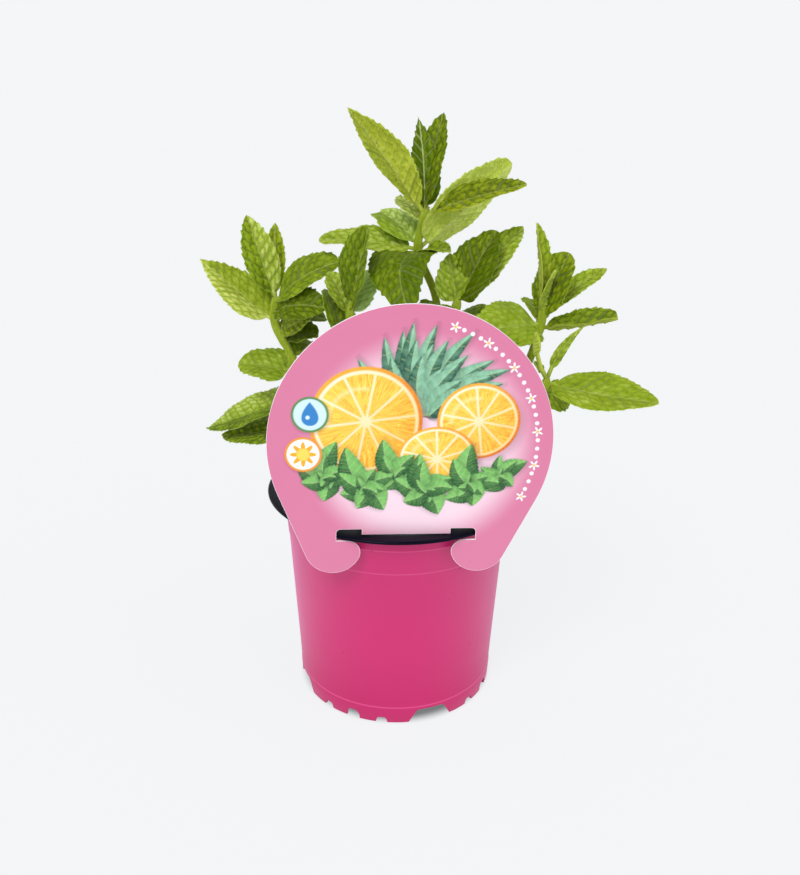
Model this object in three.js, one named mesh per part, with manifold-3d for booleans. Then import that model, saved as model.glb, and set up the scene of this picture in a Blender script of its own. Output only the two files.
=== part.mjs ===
// A potted mint plant: a two-colour plastic nursery pot, its peat, leafy mint stems and a round card label
// that hooks over the pot's flange. Millimetres, +Z up. The pot stands on z = 0 with its axis on the Z axis,
// and the label is on the -Y side.
import * as THREE from "three";
import { mergeVertices } from "three/addons/utils/BufferGeometryUtils.js";
import Module from "manifold-3d";

const wasm = await Module();
wasm.setup();
const { degToRad, lerp } = THREE.MathUtils;

// ---- Driving dimensions ----------------------------------------------------------------------------------

const GAP = 0.3; // clearance between pieces that touch

const FLANGE_RADIUS = 52.5; // a 10.5 cm pot is named by this diameter
const FLANGE_TOP = 87.3;
const FLANGE_THICKNESS = 1.3;
const FLANGE_BOTTOM = FLANGE_TOP - FLANGE_THICKNESS;
const FLANGE_EDGE = 0.35; // bevel round the flange's outer edge
const LIP_BEVEL = 0.6; // bevel where the flange turns down into the pot
const RIM_RADIUS = 45.8; // outside of the wall where it meets the flange
const FOOT_RADIUS = 40.8; // outside of the wall where it stands
const WALL = 1.2;
const PANEL_BOTTOM = 6.5; // the base panel is raised inside the standing skirt
const PANEL_TOP = PANEL_BOTTOM + WALL;
const POT_SIDES = 64;

// The skirt's notches, each an outline of [across, up]. They repeat every quarter turn.
const WIDE_NOTCH = [[-9, -1], [9, -1], [9, 0], [5.6, 6], [-5.6, 6], [-9, 0]];
const SMALL_NOTCH = [[-2.4, -1], [2.4, -1], [2.4, 0], [1.7, 2.5], [-1.7, 2.5], [-2.4, 0]];
const ARCH_NOTCH = [[-2.9, -1], [2.9, -1], [2.9, 1.5], [2, 3.3], [0, 3.9], [-2, 3.3], [-2.9, 1.5]];
const NOTCH_DEPTH = 12;
const FIRST_NOTCH = 20.75; // degrees from the front towards +X, to the middle of the first wide notch
const ARCH_TURN = 45; // degrees from each wide notch to the arch
const SMALL_TURN = 17; // degrees from the arch to the small notch on each side of it

const DRAIN_RADIUS = 3;
const DRAIN_CIRCLE = 31;
const DRAIN_COUNT = 8;

const SOIL_TOP = 77;
const SOIL_CROWN = 1.6; // how far the peat's middle stands above its edge
const STEM_DEPTH = 22; // how deep the stems stand in the peat
const STEM_FOOT = SOIL_TOP - STEM_DEPTH;
const HOLE_RADIUS = 2.5;
const PEAT_SIDES = 36;
const PEAT_RINGS = 6;

const LABEL_THICKNESS = 0.6;
const LABEL_BACK = 46.3; // distance of the label's back face from the pot's axis
const LABEL_TURN = 4.5; // degrees round the pot, from the front towards +X
const LABEL_TILT = 0.8; // degrees clockwise in its own plane
const TAB_EDGE = FLANGE_TOP + 0.5; // height of the label's tab, which rests on the flange
const TAB_HALF = 16;
const DISC_RADIUS = 49.9;
const DISC_CENTRE = [0.9, 33.9]; // from the middle of the tab's edge
const SLOT_HALF = 25.2;
const SLOT_TOP = 2.1; // above the tab's edge, on both sides of the tab
const SLOT_CORNER = 1.6;
const HOOK_TOP = -2.45; // the hooks reach under the flange
const HOOK_RADIUS = 4.8; // at each hook's inner end
const LOBE_RADIUS = 10.3; // round the rest of each hook
const LOBE_OUT = 26.4;
const LOBE_DOWN = 5.1;

const STEM_HALF = 1.5; // half the side of the square stem at the soil
const STEM_TAPER = 0.82; // share of that left at the growing tip
const STEM_STEPS = 14;
const STALK_HALF = 0.75;
const STALK_THICKNESS = 1.5;
const STALK_SHARE = 0.09; // of the leaf's length
const BLADE_THICKNESS = 0.78;
const POINT_HALF = 0.35; // half the width of the blade's blunt point
const BLADE_ROOT = 0.6; // how slender the blade is towards its stalk
const BLADE_POINT = 0.8; // how slender it is towards its point
const TOOTH_SPACING = 7; // along each edge
const FEWEST_TEETH = 3;
const MOST_TEETH = 5;
const TOOTH_OUT = 1.05;
const TOOTH_IN = 0.9;
const TOOTH_LEAN = 0.3; // share of a tooth's spacing by which its point leans forward
const WAVE = 0.035; // height of the edge's slow wave, as a share of the width
const WAVE_TURN = 9; // radians of that wave along the leaf
const WAVE_SHIFT = 2.4; // radians by which each leaf's wave differs from the one before

// ---- The plant -------------------------------------------------------------------------------------------

// One leaf: its height on the stem, the place of its point, its width, its roll about its own length
// (anticlockwise seen from its point), the bulge of its midrib as a share of its length and the angle by which
// its halves rise. Some leaves differ in the share of their length that is stalk, in how slender the blade is
// towards its stalk (root) and its point, or in how far their midrib bows aside.
const leaf = (height, tip, width, roll = 0, arch = 0.06, fold = 14, own = {}) => ({
  height,
  tip,
  width,
  roll,
  arch,
  fold,
  stalk: STALK_SHARE,
  root: BLADE_ROOT,
  point: BLADE_POINT,
  sway: 0,
  ...own,
});

// Two opposite leaves: height on the stem, compass direction of the first, length, width and rise.
const pair = (height, compass, length, width, rise, arch = 0.12) => ({
  height,
  compass,
  length,
  width,
  rise,
  arch,
});

// Each stem: its route from the soil to its growing tip, the leaves placed one by one, and the regular pairs.
const STEMS = [
  {
    name: "stem_centre",
    route: [[14, 6, 80], [16, 4, 120], [14.2, 3, 163], [7, 1, 182], [8.9, 0, 194], [9.2, 1, 198]],
    leaves: [
      leaf(195, [-17.7, -14, 231.3], 15.5, 30, 0.035, 14),
      leaf(195, [6.4, 7, 228.4], 12.5, 0, 0.02, 16, { root: 0.4, point: 0.95, sway: 0.02 }),
      leaf(196, [15.5, 10, 230], 12, 0, 0.04, 16, { point: 0.7 }),
      leaf(195, [44, -14, 207], 13, 40, 0.03, 18, { point: 0.7 }),
      leaf(182, [41, 8, 212.8], 21, -60, -0.03, 12, { root: 0.35, point: 0.45, sway: 0.03 }),
      leaf(184, [-7.6, 20, 193.8], 23, 0, 0.04, 10, { root: 0.4, point: 0.6 }),
      leaf(192, [0.6, 18, 200], 13, 0, 0.04, 10),
      leaf(182, [-30.2, 3.5, 184.9], 18, -20, 0.04, 12, { root: 0.35, point: 0.5 }),
      leaf(181, [5, -34, 162.5], 25, 12, 0.2, 8, { root: 0.3, point: 0.9, sway: 0.1 }),
      leaf(180, [18.2, -18, 184.6], 11, 20, 0.06, 20, { root: 0.3 }),
    ],
    pairs: [pair(141, 50, 25, 16, 2), pair(112, 30, 28, 18, 8)],
  },
  {
    name: "stem_centre_right",
    route: [[20, -16, 80], [22, -17, 120], [20.5, -14, 160], [22, -13, 168]],
    leaves: [
      leaf(164, [35, -9, 190.5], 20, 30, 0.04, 14, { root: 0.3, point: 0.55 }),
      leaf(165, [46, 2, 190.4], 17.5, 20, 0.06, 12, { point: 0.9 }),
      leaf(164, [18.1, -8, 182], 15, -20, 0.05, 14, { root: 0.35 }),
      leaf(160, [6.9, -22, 164.9], 12, 0, 0.14, 14),
      leaf(157, [37, -6, 161], 15, 0, 0.06, 10, { point: 0.5 }),
    ],
    pairs: [pair(132, 160, 22, 14, 12)],
  },
  {
    name: "stem_right",
    route: [[28, 3, 80], [38, 0, 110], [50, -8, 143], [53.2, -8, 157], [53.5, -8, 166]],
    leaves: [
      leaf(158, [49.6, -8, 193.3], 10, -45, 0.02, 45),
      leaf(158, [61.5, -10, 183], 17, 55, 0.05, 14, { point: 0.6 }),
      leaf(160, [56, -14, 177.5], 6, 40, 0.04, 20),
      leaf(157, [49.6, 2, 164], 14, 20, 0.04, 12, { point: 0.6 }),
      leaf(160, [78.8, 4, 175.2], 10.5, 18, 0.05, 14),
      leaf(155, [79.8, -16, 160.6], 13, 18, -0.03, 36, { root: 0.3, point: 0.25 }),
      leaf(156, [24.6, -30, 157], 22, -38, 0.06, 10, { root: 0.4 }),
    ],
    pairs: [pair(124, 78, 22, 15, 0), pair(108, 20, 23, 15, 5)],
  },
  {
    name: "stem_low_right",
    route: [[31, -14, 80], [40, -19, 108], [50, -25, 132], [53.6, -26, 139], [54, -26, 142]],
    leaves: [
      leaf(139, [87.9, -49.4, 139.3], 19, 26, 0, 10, { root: 0.4, point: 0.6, sway: 0.02 }),
      leaf(136, [64.9, -20, 129.7], 12.5, 60, 0, 10),
      leaf(140, [67.1, -22, 159.4], 4, 60, 0.08, 14, { stalk: 0.2, root: 0.35, point: 1.1, sway: -0.08 }),
      leaf(140, [48.5, -29.5, 158.4], 4.5, 0, -0.1, 14, { stalk: 0.6 }),
      leaf(140, [49.5, -22, 146], 4, 0, 0.06, 14, { stalk: 0.4 }),
    ],
    pairs: [pair(114, 110, 20, 12, 20)],
  },
  {
    name: "stem_left",
    route: [[-22, 8, 80], [-33, 9, 112], [-43.8, 10, 140], [-49.5, 14, 151], [-49, 15, 162]],
    leaves: [
      leaf(151, [-81, 28, 173.3], 19.5, -35, 0, 20, { root: 0.5, point: 1.1 }),
      leaf(160, [-59.4, 18, 192], 14, -65, 0.04, 14),
      leaf(160, [-49.4, 24, 188.5], 9, 0, 0.04, 14, { point: 0.8 }),
      leaf(158, [-22.5, 0, 177.3], 17, 50, 0.1, 12, { point: 0.5 }),
      leaf(154, [-27, -6, 161], 16, 50, 0.14, 14, { point: 0.6 }),
      leaf(147, [-32.4, -4, 157.5], 9, 75, 0.04, 14),
      leaf(144, [-32, 13, 147], 15, 20, 0.1, 12, { point: 0.5 }),
      leaf(149, [-29, 17, 151.5], 18, 10, 0.16, 12, { point: 0.5 }),
      leaf(137, [-35.5, 21, 141], 15, 10, 0.2, 12, { point: 0.5 }),
    ],
    pairs: [pair(120, 78, 28, 16, 4)],
  },
  {
    name: "stem_centre_left",
    route: [[-12, -12, 80], [-16, -14, 120], [-17.8, -14, 158], [-17.5, -13, 166]],
    leaves: [
      leaf(160, [-10.8, -17, 192], 19, 56, 0.02, 20, { point: 0.45 }),
      leaf(160, [-9.4, 0, 173.3], 13, 20, 0.06, 10, { root: 0.3, point: 0.5, sway: -0.05 }),
      leaf(150, [-26, -6, 168], 16, 10, 0.06, 12, { root: 0.45, point: 0.55, sway: -0.12 }),
      leaf(160, [-25.7, -8, 175], 10, -20, 0.06, 12, { point: 0.6 }),
    ],
    pairs: [pair(134, 170, 20, 14, 10), pair(108, 85, 26, 16, 8)],
  },
  {
    name: "stem_low_left",
    route: [[-26, 4, 80], [-35, 14, 102], [-41, 20, 117], [-44, 18, 130], [-44, 17, 135]],
    leaves: [
      leaf(129, [-67, 24, 131], 19, -30, 0.06, 10, { root: 0.3, point: 0.6 }),
      leaf(119, [-85.8, 40, 96], 20, -30, 0.01, 12, { root: 0.28, point: 0.65, sway: -0.03 }),
      leaf(106, [-78.6, 36, 93.5], 19, -28, 0, 12),
    ],
    pairs: [pair(98, 60, 28, 15, 12)],
  },
  {
    name: "stem_back_left",
    route: [[-8, 22, 80], [-12, 27, 106], [-14, 30, 126], [-14, 31, 134]],
    leaves: [],
    pairs: [pair(131, 100, 14, 8, 50), pair(125, 25, 25, 16, 12), pair(104, 130, 22, 16, 8)],
  },
  {
    name: "stem_back_right",
    route: [[18, 24, 80], [21, 29, 104], [24, 32, 121], [24, 33, 129]],
    leaves: [],
    pairs: [pair(126, 80, 14, 8, 50), pair(120, 165, 25, 16, 12), pair(101, 70, 21, 16, 8)],
  },
];

// ---- Solids ----------------------------------------------------------------------------------------------

// A closed three.js geometry as a solid, with its faces turned outwards.
function solid(geometry) {
  const bare = geometry.index ? geometry.toNonIndexed() : geometry.clone();
  for (const name of Object.keys(bare.attributes)) if (name !== "position") bare.deleteAttribute(name);
  const merged = mergeVertices(bare, 1e-4);
  const vertProperties = new Float32Array(merged.attributes.position.array);
  const corners = new Uint32Array(merged.index.array);
  const made = new wasm.Manifold(new wasm.Mesh({ numProp: 3, vertProperties, triVerts: corners }));
  if (made.volume() >= 0) return made;
  for (let i = 0; i < corners.length; i += 3) [corners[i], corners[i + 1]] = [corners[i + 1], corners[i]];
  return new wasm.Manifold(new wasm.Mesh({ numProp: 3, vertProperties, triVerts: corners }));
}

// A solid as a named three.js mesh in its material.
function meshOf(name, made, material) {
  const { vertProperties, triVerts } = made.getMesh();
  const geometry = new THREE.BufferGeometry();
  geometry.setAttribute("position", new THREE.BufferAttribute(vertProperties, 3));
  geometry.setIndex(new THREE.BufferAttribute(triVerts, 1));
  const mesh = new THREE.Mesh(geometry.toNonIndexed(), material);
  mesh.geometry.computeVertexNormals();
  mesh.name = name;
  return mesh;
}

// A closed profile of [radius, height] points turned about the Z axis.
function turned(profile, sides) {
  const closed = [...profile, profile[0]].map(([radius, height]) => new THREE.Vector2(radius, height));
  return new THREE.LatheGeometry(closed, sides).rotateX(Math.PI / 2);
}

// A body through rings of points, each ring with the same number of points, closed by a cap at each end.
function throughRings(rings, cap) {
  const count = rings[0].length;
  const positions = rings.flat().flatMap((point) => point.toArray());
  const faces = [];
  for (let i = 0; i + 1 < rings.length; i++) {
    for (let j = 0; j < count; j++) {
      const [a, b] = [i * count + j, i * count + ((j + 1) % count)];
      faces.push(a, b, b + count, a, b + count, a + count);
    }
  }
  const last = (rings.length - 1) * count;
  for (const [a, b, c] of cap) faces.push(c, b, a, last + a, last + b, last + c);
  const geometry = new THREE.BufferGeometry();
  geometry.setAttribute("position", new THREE.Float32BufferAttribute(positions, 3));
  geometry.setIndex(faces);
  return geometry;
}

// ---- Pot and peat ----------------------------------------------------------------------------------------

const wallRadius = (height) => lerp(FOOT_RADIUS, RIM_RADIUS, height / FLANGE_BOTTOM);
const wallInside = (height) => wallRadius(height) - WALL;

// A notch in the standing skirt, pushed out through the wall.
function notch(turn, points) {
  const shape = new THREE.Shape(points.map(([across, up]) => new THREE.Vector2(across, up)));
  const cutter = new THREE.ExtrudeGeometry(shape, { depth: NOTCH_DEPTH, bevelEnabled: false });
  cutter.rotateX(Math.PI / 2).translate(0, NOTCH_DEPTH / 2 - FOOT_RADIUS, 0).rotateZ(degToRad(turn));
  return solid(cutter);
}

function potSolid() {
  const profile = [
    [0, PANEL_BOTTOM],
    [wallInside(PANEL_BOTTOM), PANEL_BOTTOM],
    [wallInside(0), 0],
    [FOOT_RADIUS, 0],
    [RIM_RADIUS, FLANGE_BOTTOM],
    [FLANGE_RADIUS - FLANGE_EDGE, FLANGE_BOTTOM],
    [FLANGE_RADIUS, FLANGE_BOTTOM + FLANGE_EDGE],
    [FLANGE_RADIUS, FLANGE_TOP - FLANGE_EDGE],
    [FLANGE_RADIUS - FLANGE_EDGE, FLANGE_TOP],
    [wallInside(FLANGE_TOP) + LIP_BEVEL, FLANGE_TOP],
    [wallInside(FLANGE_TOP - LIP_BEVEL), FLANGE_TOP - LIP_BEVEL],
    [wallInside(PANEL_TOP), PANEL_TOP],
    [0, PANEL_TOP],
  ];
  let made = solid(turned(profile, POT_SIDES));
  for (let quarter = 0; quarter < 4; quarter++) {
    const turn = FIRST_NOTCH + 90 * quarter;
    made = made.subtract(notch(turn, WIDE_NOTCH)).subtract(notch(turn + ARCH_TURN, ARCH_NOTCH));
    for (const side of [-SMALL_TURN, SMALL_TURN]) {
      made = made.subtract(notch(turn + ARCH_TURN + side, SMALL_NOTCH));
    }
  }
  for (let i = 0; i < DRAIN_COUNT; i++) {
    const drain = new THREE.CylinderGeometry(DRAIN_RADIUS, DRAIN_RADIUS, 4 * WALL, 12).rotateX(Math.PI / 2);
    drain.translate(DRAIN_CIRCLE, 0, PANEL_BOTTOM + WALL / 2);
    made = made.subtract(solid(drain.rotateZ((2 * Math.PI * (i + 0.5)) / DRAIN_COUNT)));
  }
  return made;
}

// The peat's lumps, as a height above its plain crown.
const lump = (x, y) => 0.5 * Math.sin(0.55 * x + 1) * Math.cos(0.6 * y) + 0.3 * Math.sin(0.9 * y + 0.4 * x);

function peatSolid() {
  const bottom = PANEL_TOP + GAP;
  const rim = wallInside(SOIL_TOP) - GAP;
  const top = [];
  for (let ring = PEAT_RINGS; ring >= 0; ring--) {
    const share = ring / PEAT_RINGS;
    top.push([share * rim, SOIL_TOP + SOIL_CROWN * (1 - share * share)]);
  }
  const geometry = turned([[0, bottom], [wallInside(bottom) - GAP, bottom], ...top], PEAT_SIDES);
  const place = geometry.attributes.position;
  for (let i = 0; i < place.count; i++) {
    const [x, y, z] = [place.getX(i), place.getY(i), place.getZ(i)];
    const inward = Math.max(0, 1 - Math.hypot(x, y) / rim);
    if (z > SOIL_TOP - 1) place.setZ(i, z + lump(x, y) * Math.min(1, 6 * inward));
  }
  let made = solid(geometry);
  for (const { route } of STEMS) {
    const [x, y] = route[0];
    const hole = new THREE.CylinderGeometry(HOLE_RADIUS, HOLE_RADIUS, 2 * STEM_DEPTH, 8).rotateX(Math.PI / 2);
    made = made.subtract(solid(hole.translate(x, y, STEM_FOOT - GAP + STEM_DEPTH)));
  }
  return made;
}

// ---- Label -----------------------------------------------------------------------------------------------

// The direction, from the disc's centre, in which its edge runs straight down to a hook this far across.
function flank(across) {
  const down = DISC_CENTRE[1] + LOBE_DOWN;
  return Math.acos((DISC_RADIUS - LOBE_RADIUS) / Math.hypot(across, down)) - Math.atan2(down, across);
}

// The label's outline, its tab's edge at height 0: a disc whose straight flanks run down to two round hooks,
// with the slot that takes the flange between the tab and the hooks.
function labelShape() {
  const [across, up] = DISC_CENTRE;
  const [right, left] = [flank(LOBE_OUT - across), flank(LOBE_OUT + across)];
  const corner = [SLOT_HALF - SLOT_CORNER, SLOT_TOP - SLOT_CORNER];
  const inset = LOBE_RADIUS - HOOK_RADIUS;
  const bend = Math.asin((HOOK_RADIUS - HOOK_TOP - LOBE_DOWN) / inset);
  const hook = [LOBE_OUT - inset * Math.cos(bend), HOOK_TOP - HOOK_RADIUS];
  const shape = new THREE.Shape();
  shape.moveTo(-TAB_HALF, 0);
  shape.lineTo(TAB_HALF, 0);
  shape.lineTo(TAB_HALF, SLOT_TOP);
  shape.absarc(corner[0], corner[1], SLOT_CORNER, Math.PI / 2, 0, true);
  shape.lineTo(SLOT_HALF, HOOK_TOP);
  shape.absarc(hook[0], hook[1], HOOK_RADIUS, Math.PI / 2, Math.PI + bend, false);
  shape.absarc(LOBE_OUT, -LOBE_DOWN, LOBE_RADIUS, Math.PI + bend, 2 * Math.PI + right, false);
  shape.absarc(across, up, DISC_RADIUS, right, Math.PI - left, false);
  shape.absarc(-LOBE_OUT, -LOBE_DOWN, LOBE_RADIUS, Math.PI - left, 2 * Math.PI - bend, false);
  shape.absarc(-hook[0], hook[1], HOOK_RADIUS, -bend, Math.PI / 2, false);
  shape.lineTo(-SLOT_HALF, HOOK_TOP);
  shape.absarc(-corner[0], corner[1], SLOT_CORNER, Math.PI, Math.PI / 2, true);
  shape.lineTo(-TAB_HALF, SLOT_TOP);
  return shape;
}

function labelSolid() {
  const options = { depth: LABEL_THICKNESS, bevelEnabled: false, curveSegments: 12 };
  const card = new THREE.ExtrudeGeometry(labelShape(), options);
  card.rotateZ(degToRad(-LABEL_TILT)).rotateX(Math.PI / 2).translate(0, -LABEL_BACK, TAB_EDGE);
  return solid(card.rotateZ(degToRad(LABEL_TURN)));
}

// ---- Leafy stems -----------------------------------------------------------------------------------------

const UP = new THREE.Vector3(0, 0, 1);

// The square stem, thinner towards its growing tip.
function stalkSolid(curve) {
  const rings = [];
  for (let i = 0; i <= STEM_STEPS; i++) {
    const share = i / STEM_STEPS;
    const half = STEM_HALF * lerp(1, STEM_TAPER, share);
    const centre = curve.getPointAt(share);
    const forward = curve.getTangentAt(share);
    const first = new THREE.Vector3(0, 1, 0).cross(forward).setLength(half);
    const second = forward.clone().cross(first).setLength(half);
    const corners = [[1, 1], [-1, 1], [-1, -1], [1, -1]];
    rings.push(corners.map(([a, b]) => centre.clone().addScaledVector(first, a).addScaledVector(second, b)));
  }
  return solid(throughRings(rings, [[0, 1, 2], [0, 2, 3]]));
}

// Half the blade's width at a share of its length, as a share of its greatest.
function outline(share, root, point) {
  const shape = (s) => Math.pow(s, root) * Math.pow(1 - s, point);
  return shape(share) / shape(root / (root + point));
}

// The stations of a leaf from the stem to its point: [share of length, half width, thickness, lean, wave].
function stations(length, { width, stalk, root, point }, phase) {
  const foot = [0, 1].map((end) => [end * stalk, STALK_HALF, STALK_THICKNESS, 0, 0]);
  const steps = 2 * THREE.MathUtils.clamp(Math.round(length / TOOTH_SPACING), FEWEST_TEETH, MOST_TEETH);
  const blade = [];
  for (let i = 1; i <= steps; i++) {
    const share = i / (steps + 1);
    const isTooth = i % 2 === 0;
    const reach = 0.5 * width * outline(share, root, point) * (isTooth ? TOOTH_OUT : TOOTH_IN);
    const half = Math.max(reach, POINT_HALF);
    const lean = isTooth ? TOOTH_LEAN / steps : 0;
    const wave = WAVE * width * Math.sin(WAVE_TURN * share + phase) * Math.min(1, 3 * share);
    blade.push([lerp(stalk, 1, share), half, BLADE_THICKNESS, lean, wave]);
  }
  return [...foot, ...blade, [1, POINT_HALF, BLADE_THICKNESS, 0, 0]];
}

// A toothed blade on its short stalk, from its place on the stem to its point.
function leafSolid(base, one, phase) {
  const { roll, arch, sway, fold } = one;
  const tip = new THREE.Vector3(...one.tip);
  const length = tip.distanceTo(base);
  const forward = tip.clone().sub(base).normalize();
  const face = UP.clone().projectOnPlane(forward).normalize().applyAxisAngle(forward, degToRad(roll));
  const aside = forward.clone().cross(face);
  const bulge = base.clone().lerp(tip, 0.5).addScaledVector(face, 2 * arch * length);
  const midrib = new THREE.QuadraticBezierCurve3(base, bulge.addScaledVector(aside, 2 * sway * length), tip);
  const rings = stations(length, one, phase).map(([share, half, thickness, lean, wave]) => {
    const centre = midrib.getPoint(share);
    const ahead = midrib.getTangent(share);
    const above = face.clone().projectOnPlane(ahead).normalize();
    const side = ahead.clone().cross(above);
    const rise = degToRad(fold) * Math.min(1, share / (2 * STALK_SHARE));
    const edge = (hand) =>
      centre
        .clone()
        .addScaledVector(side, hand * half * Math.cos(rise))
        .addScaledVector(above, half * Math.sin(rise) + hand * wave)
        .addScaledVector(ahead, lean * length);
    const line = [edge(-1), centre, edge(1)];
    const upper = line.map((spot) => spot.clone().addScaledVector(above, thickness / 2));
    const lower = line.map((spot) => spot.clone().addScaledVector(above, -thickness / 2));
    return [...upper, ...lower.reverse()];
  });
  return solid(throughRings(rings, [[0, 1, 5], [1, 4, 5], [1, 2, 4], [2, 3, 4]]));
}

// The point of a curve at a height, found by halving.
function atHeight(curve, height) {
  let [low, high] = [0, 1];
  for (let i = 0; i < 30; i++) {
    const middle = (low + high) / 2;
    if (curve.getPointAt(middle).z < height) low = middle;
    else high = middle;
  }
  return curve.getPointAt(low);
}

// The two leaves of a regular pair, as single leaves.
function opposite(base, { height, compass, length, width, rise, arch }) {
  return [0, 180].map((turn) => {
    const heading = degToRad(compass + turn);
    const reach = length * Math.cos(degToRad(rise));
    const lift = length * Math.sin(degToRad(rise));
    const tip = [base.x + reach * Math.cos(heading), base.y + reach * Math.sin(heading), base.z + lift];
    return leaf(height, tip, width, 0, arch);
  });
}

// The stem's centre line: straight up through the peat, then along its route.
function stemCurve({ route }) {
  const [x, y, surface] = route[0];
  const points = [[x, y, STEM_FOOT], [x, y, lerp(STEM_FOOT, surface, 0.5)], ...route];
  return new THREE.CatmullRomCurve3(points.map((point) => new THREE.Vector3(...point)), false, "centripetal");
}

function stemSolid(stem) {
  const curve = stemCurve(stem);
  const all = [...stem.leaves, ...stem.pairs.flatMap((row) => opposite(atHeight(curve, row.height), row))];
  return all.reduce(
    (made, one, i) => made.add(leafSolid(atHeight(curve, one.height), one, WAVE_SHIFT * i)),
    stalkSolid(curve),
  );
}

// ---- The whole part --------------------------------------------------------------------------------------

const finish = (color, roughness) => new THREE.MeshStandardMaterial({ color, roughness, metalness: 0 });
const PINK_PLASTIC = finish(0xd2367a, 0.35);
const PEAT = finish(0x3a2a1e, 0.95);
const CARD = finish(0xe88ab0, 0.5);
const MINT = finish(0x7d9a2c, 0.6);

const plant = new THREE.Group();
plant.add(meshOf("pot", potSolid(), PINK_PLASTIC));
plant.add(meshOf("peat", peatSolid(), PEAT));
plant.add(meshOf("label", labelSolid(), CARD));
for (const stem of STEMS) plant.add(meshOf(stem.name, stemSolid(stem), MINT));

export default plant;
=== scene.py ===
"""A potted mint plant in its pink nursery pot, with a round card label hooked over the pot's flange.

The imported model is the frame. Every piece here stands in the same place and is built finer: the pot with its
moulding lines, the peat with its crumbs, the printed label, and each leafy stem with its toothed, veined
leaves. Sizes are in millimetres until a mesh is made.
"""
import math
from math import cos, pi, radians, sin
from types import SimpleNamespace

import bmesh
import bpy
import numpy as np
from mathutils import Matrix, Vector


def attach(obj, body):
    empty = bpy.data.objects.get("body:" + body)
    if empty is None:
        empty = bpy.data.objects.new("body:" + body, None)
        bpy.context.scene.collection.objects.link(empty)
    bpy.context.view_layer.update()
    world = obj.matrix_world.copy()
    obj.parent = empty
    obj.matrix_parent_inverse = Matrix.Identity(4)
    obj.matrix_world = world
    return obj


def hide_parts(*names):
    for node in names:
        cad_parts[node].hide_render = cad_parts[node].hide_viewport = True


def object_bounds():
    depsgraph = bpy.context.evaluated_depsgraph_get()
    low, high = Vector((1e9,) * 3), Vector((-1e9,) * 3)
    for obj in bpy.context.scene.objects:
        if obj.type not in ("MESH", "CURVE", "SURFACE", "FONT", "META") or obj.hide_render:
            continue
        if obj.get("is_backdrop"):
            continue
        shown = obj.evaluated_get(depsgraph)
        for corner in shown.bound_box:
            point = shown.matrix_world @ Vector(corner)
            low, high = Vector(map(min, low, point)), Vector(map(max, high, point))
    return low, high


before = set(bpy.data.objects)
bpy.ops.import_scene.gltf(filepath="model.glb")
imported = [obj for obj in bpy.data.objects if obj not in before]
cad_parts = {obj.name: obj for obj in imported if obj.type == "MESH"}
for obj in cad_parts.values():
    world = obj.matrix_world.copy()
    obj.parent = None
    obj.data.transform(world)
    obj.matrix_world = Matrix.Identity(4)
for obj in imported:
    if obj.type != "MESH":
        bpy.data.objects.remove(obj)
cad_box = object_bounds()

MM = 0.001
BOX_LOW, BOX_HIGH = (np.array(corner) / MM for corner in cad_box)
rng = np.random.default_rng(7)

# ---- Driving dimensions, as in the frame ----

GAP = 0.3
FLANGE_RADIUS = 52.5
FLANGE_TOP = 87.3
FLANGE_BOTTOM = 86.0
RIM_RADIUS = 45.8
FOOT_RADIUS = 40.8
WALL = 1.2
PANEL_BOTTOM = 6.5
PANEL_TOP = PANEL_BOTTOM + WALL
POT_SIDES = 240
LEDGES = ((69.8, 0.28), (79.8, 0.3))  # each moulding line's height, and how far the wall steps out there
RIM_PROUD = 0.3  # how far the wall stands out above the last of them
SKIRT_LINE = 7.2  # height of the line above the skirt
FOOT_EASE = 0.3  # radius of the rounding at the foot, and of the others below
FLANGE_EASE = 0.8
LIP_EASE = 0.9
PANEL_EASE = 1.2

# The notches' outlines as [across, up], cut into the skirt's foot.
WIDE_NOTCH = ((-9, -1), (9, -1), (9, 0), (5.6, 6), (-5.6, 6), (-9, 0))
SMALL_NOTCH = ((-2.4, -1), (2.4, -1), (2.4, 0), (1.7, 2.5), (-1.7, 2.5), (-2.4, 0))
ARCH_NOTCH = ((-2.9, -1), (2.9, -1), (2.9, 1.5), (2.5, 2.8), (1.4, 3.7), (0, 4), (-1.4, 3.7), (-2.5, 2.8),
              (-2.9, 1.5))
NOTCH_DEPTH = 12
NOTCH_EASE = 0.9  # how far the notches' corners are rounded off
FIRST_NOTCH = 20.75
ARCH_TURN = 45
SMALL_TURN = 17
DRAIN_RADIUS = 3
DRAIN_CIRCLE = 31
DRAIN_COUNT = 8

SOIL_TOP = 77
SOIL_CROWN = 1.6
STEM_FOOT = 55
CRUMB_COUNT = 2600

LABEL_THICKNESS = 0.6
LABEL_EDGE = 0.12  # white edge round the print
LABEL_BEVEL = 0.05
LABEL_BACK = 46.3
LABEL_TURN = 4.5
LABEL_TILT = 0.8
TAB_EDGE = FLANGE_TOP + 0.5
TAB_HALF = 16
DISC_RADIUS = 49.9
DISC_CENTRE = (0.9, 33.9)
SLOT_HALF = 25.2
SLOT_TOP = 2.1
SLOT_CORNER = 1.6
HOOK_TOP = -2.45
HOOK_RADIUS = 4.8
LOBE_RADIUS = 10.3
LOBE_OUT = 26.4
LOBE_DOWN = 5.1
PRINT_RADIUS = 47.5  # reach of the painted design
PRINT_FOOT = 3.5  # height of its lower edge
PRINT_PITCH = 0.25
PRINT_LIFT = 0.02

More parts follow.
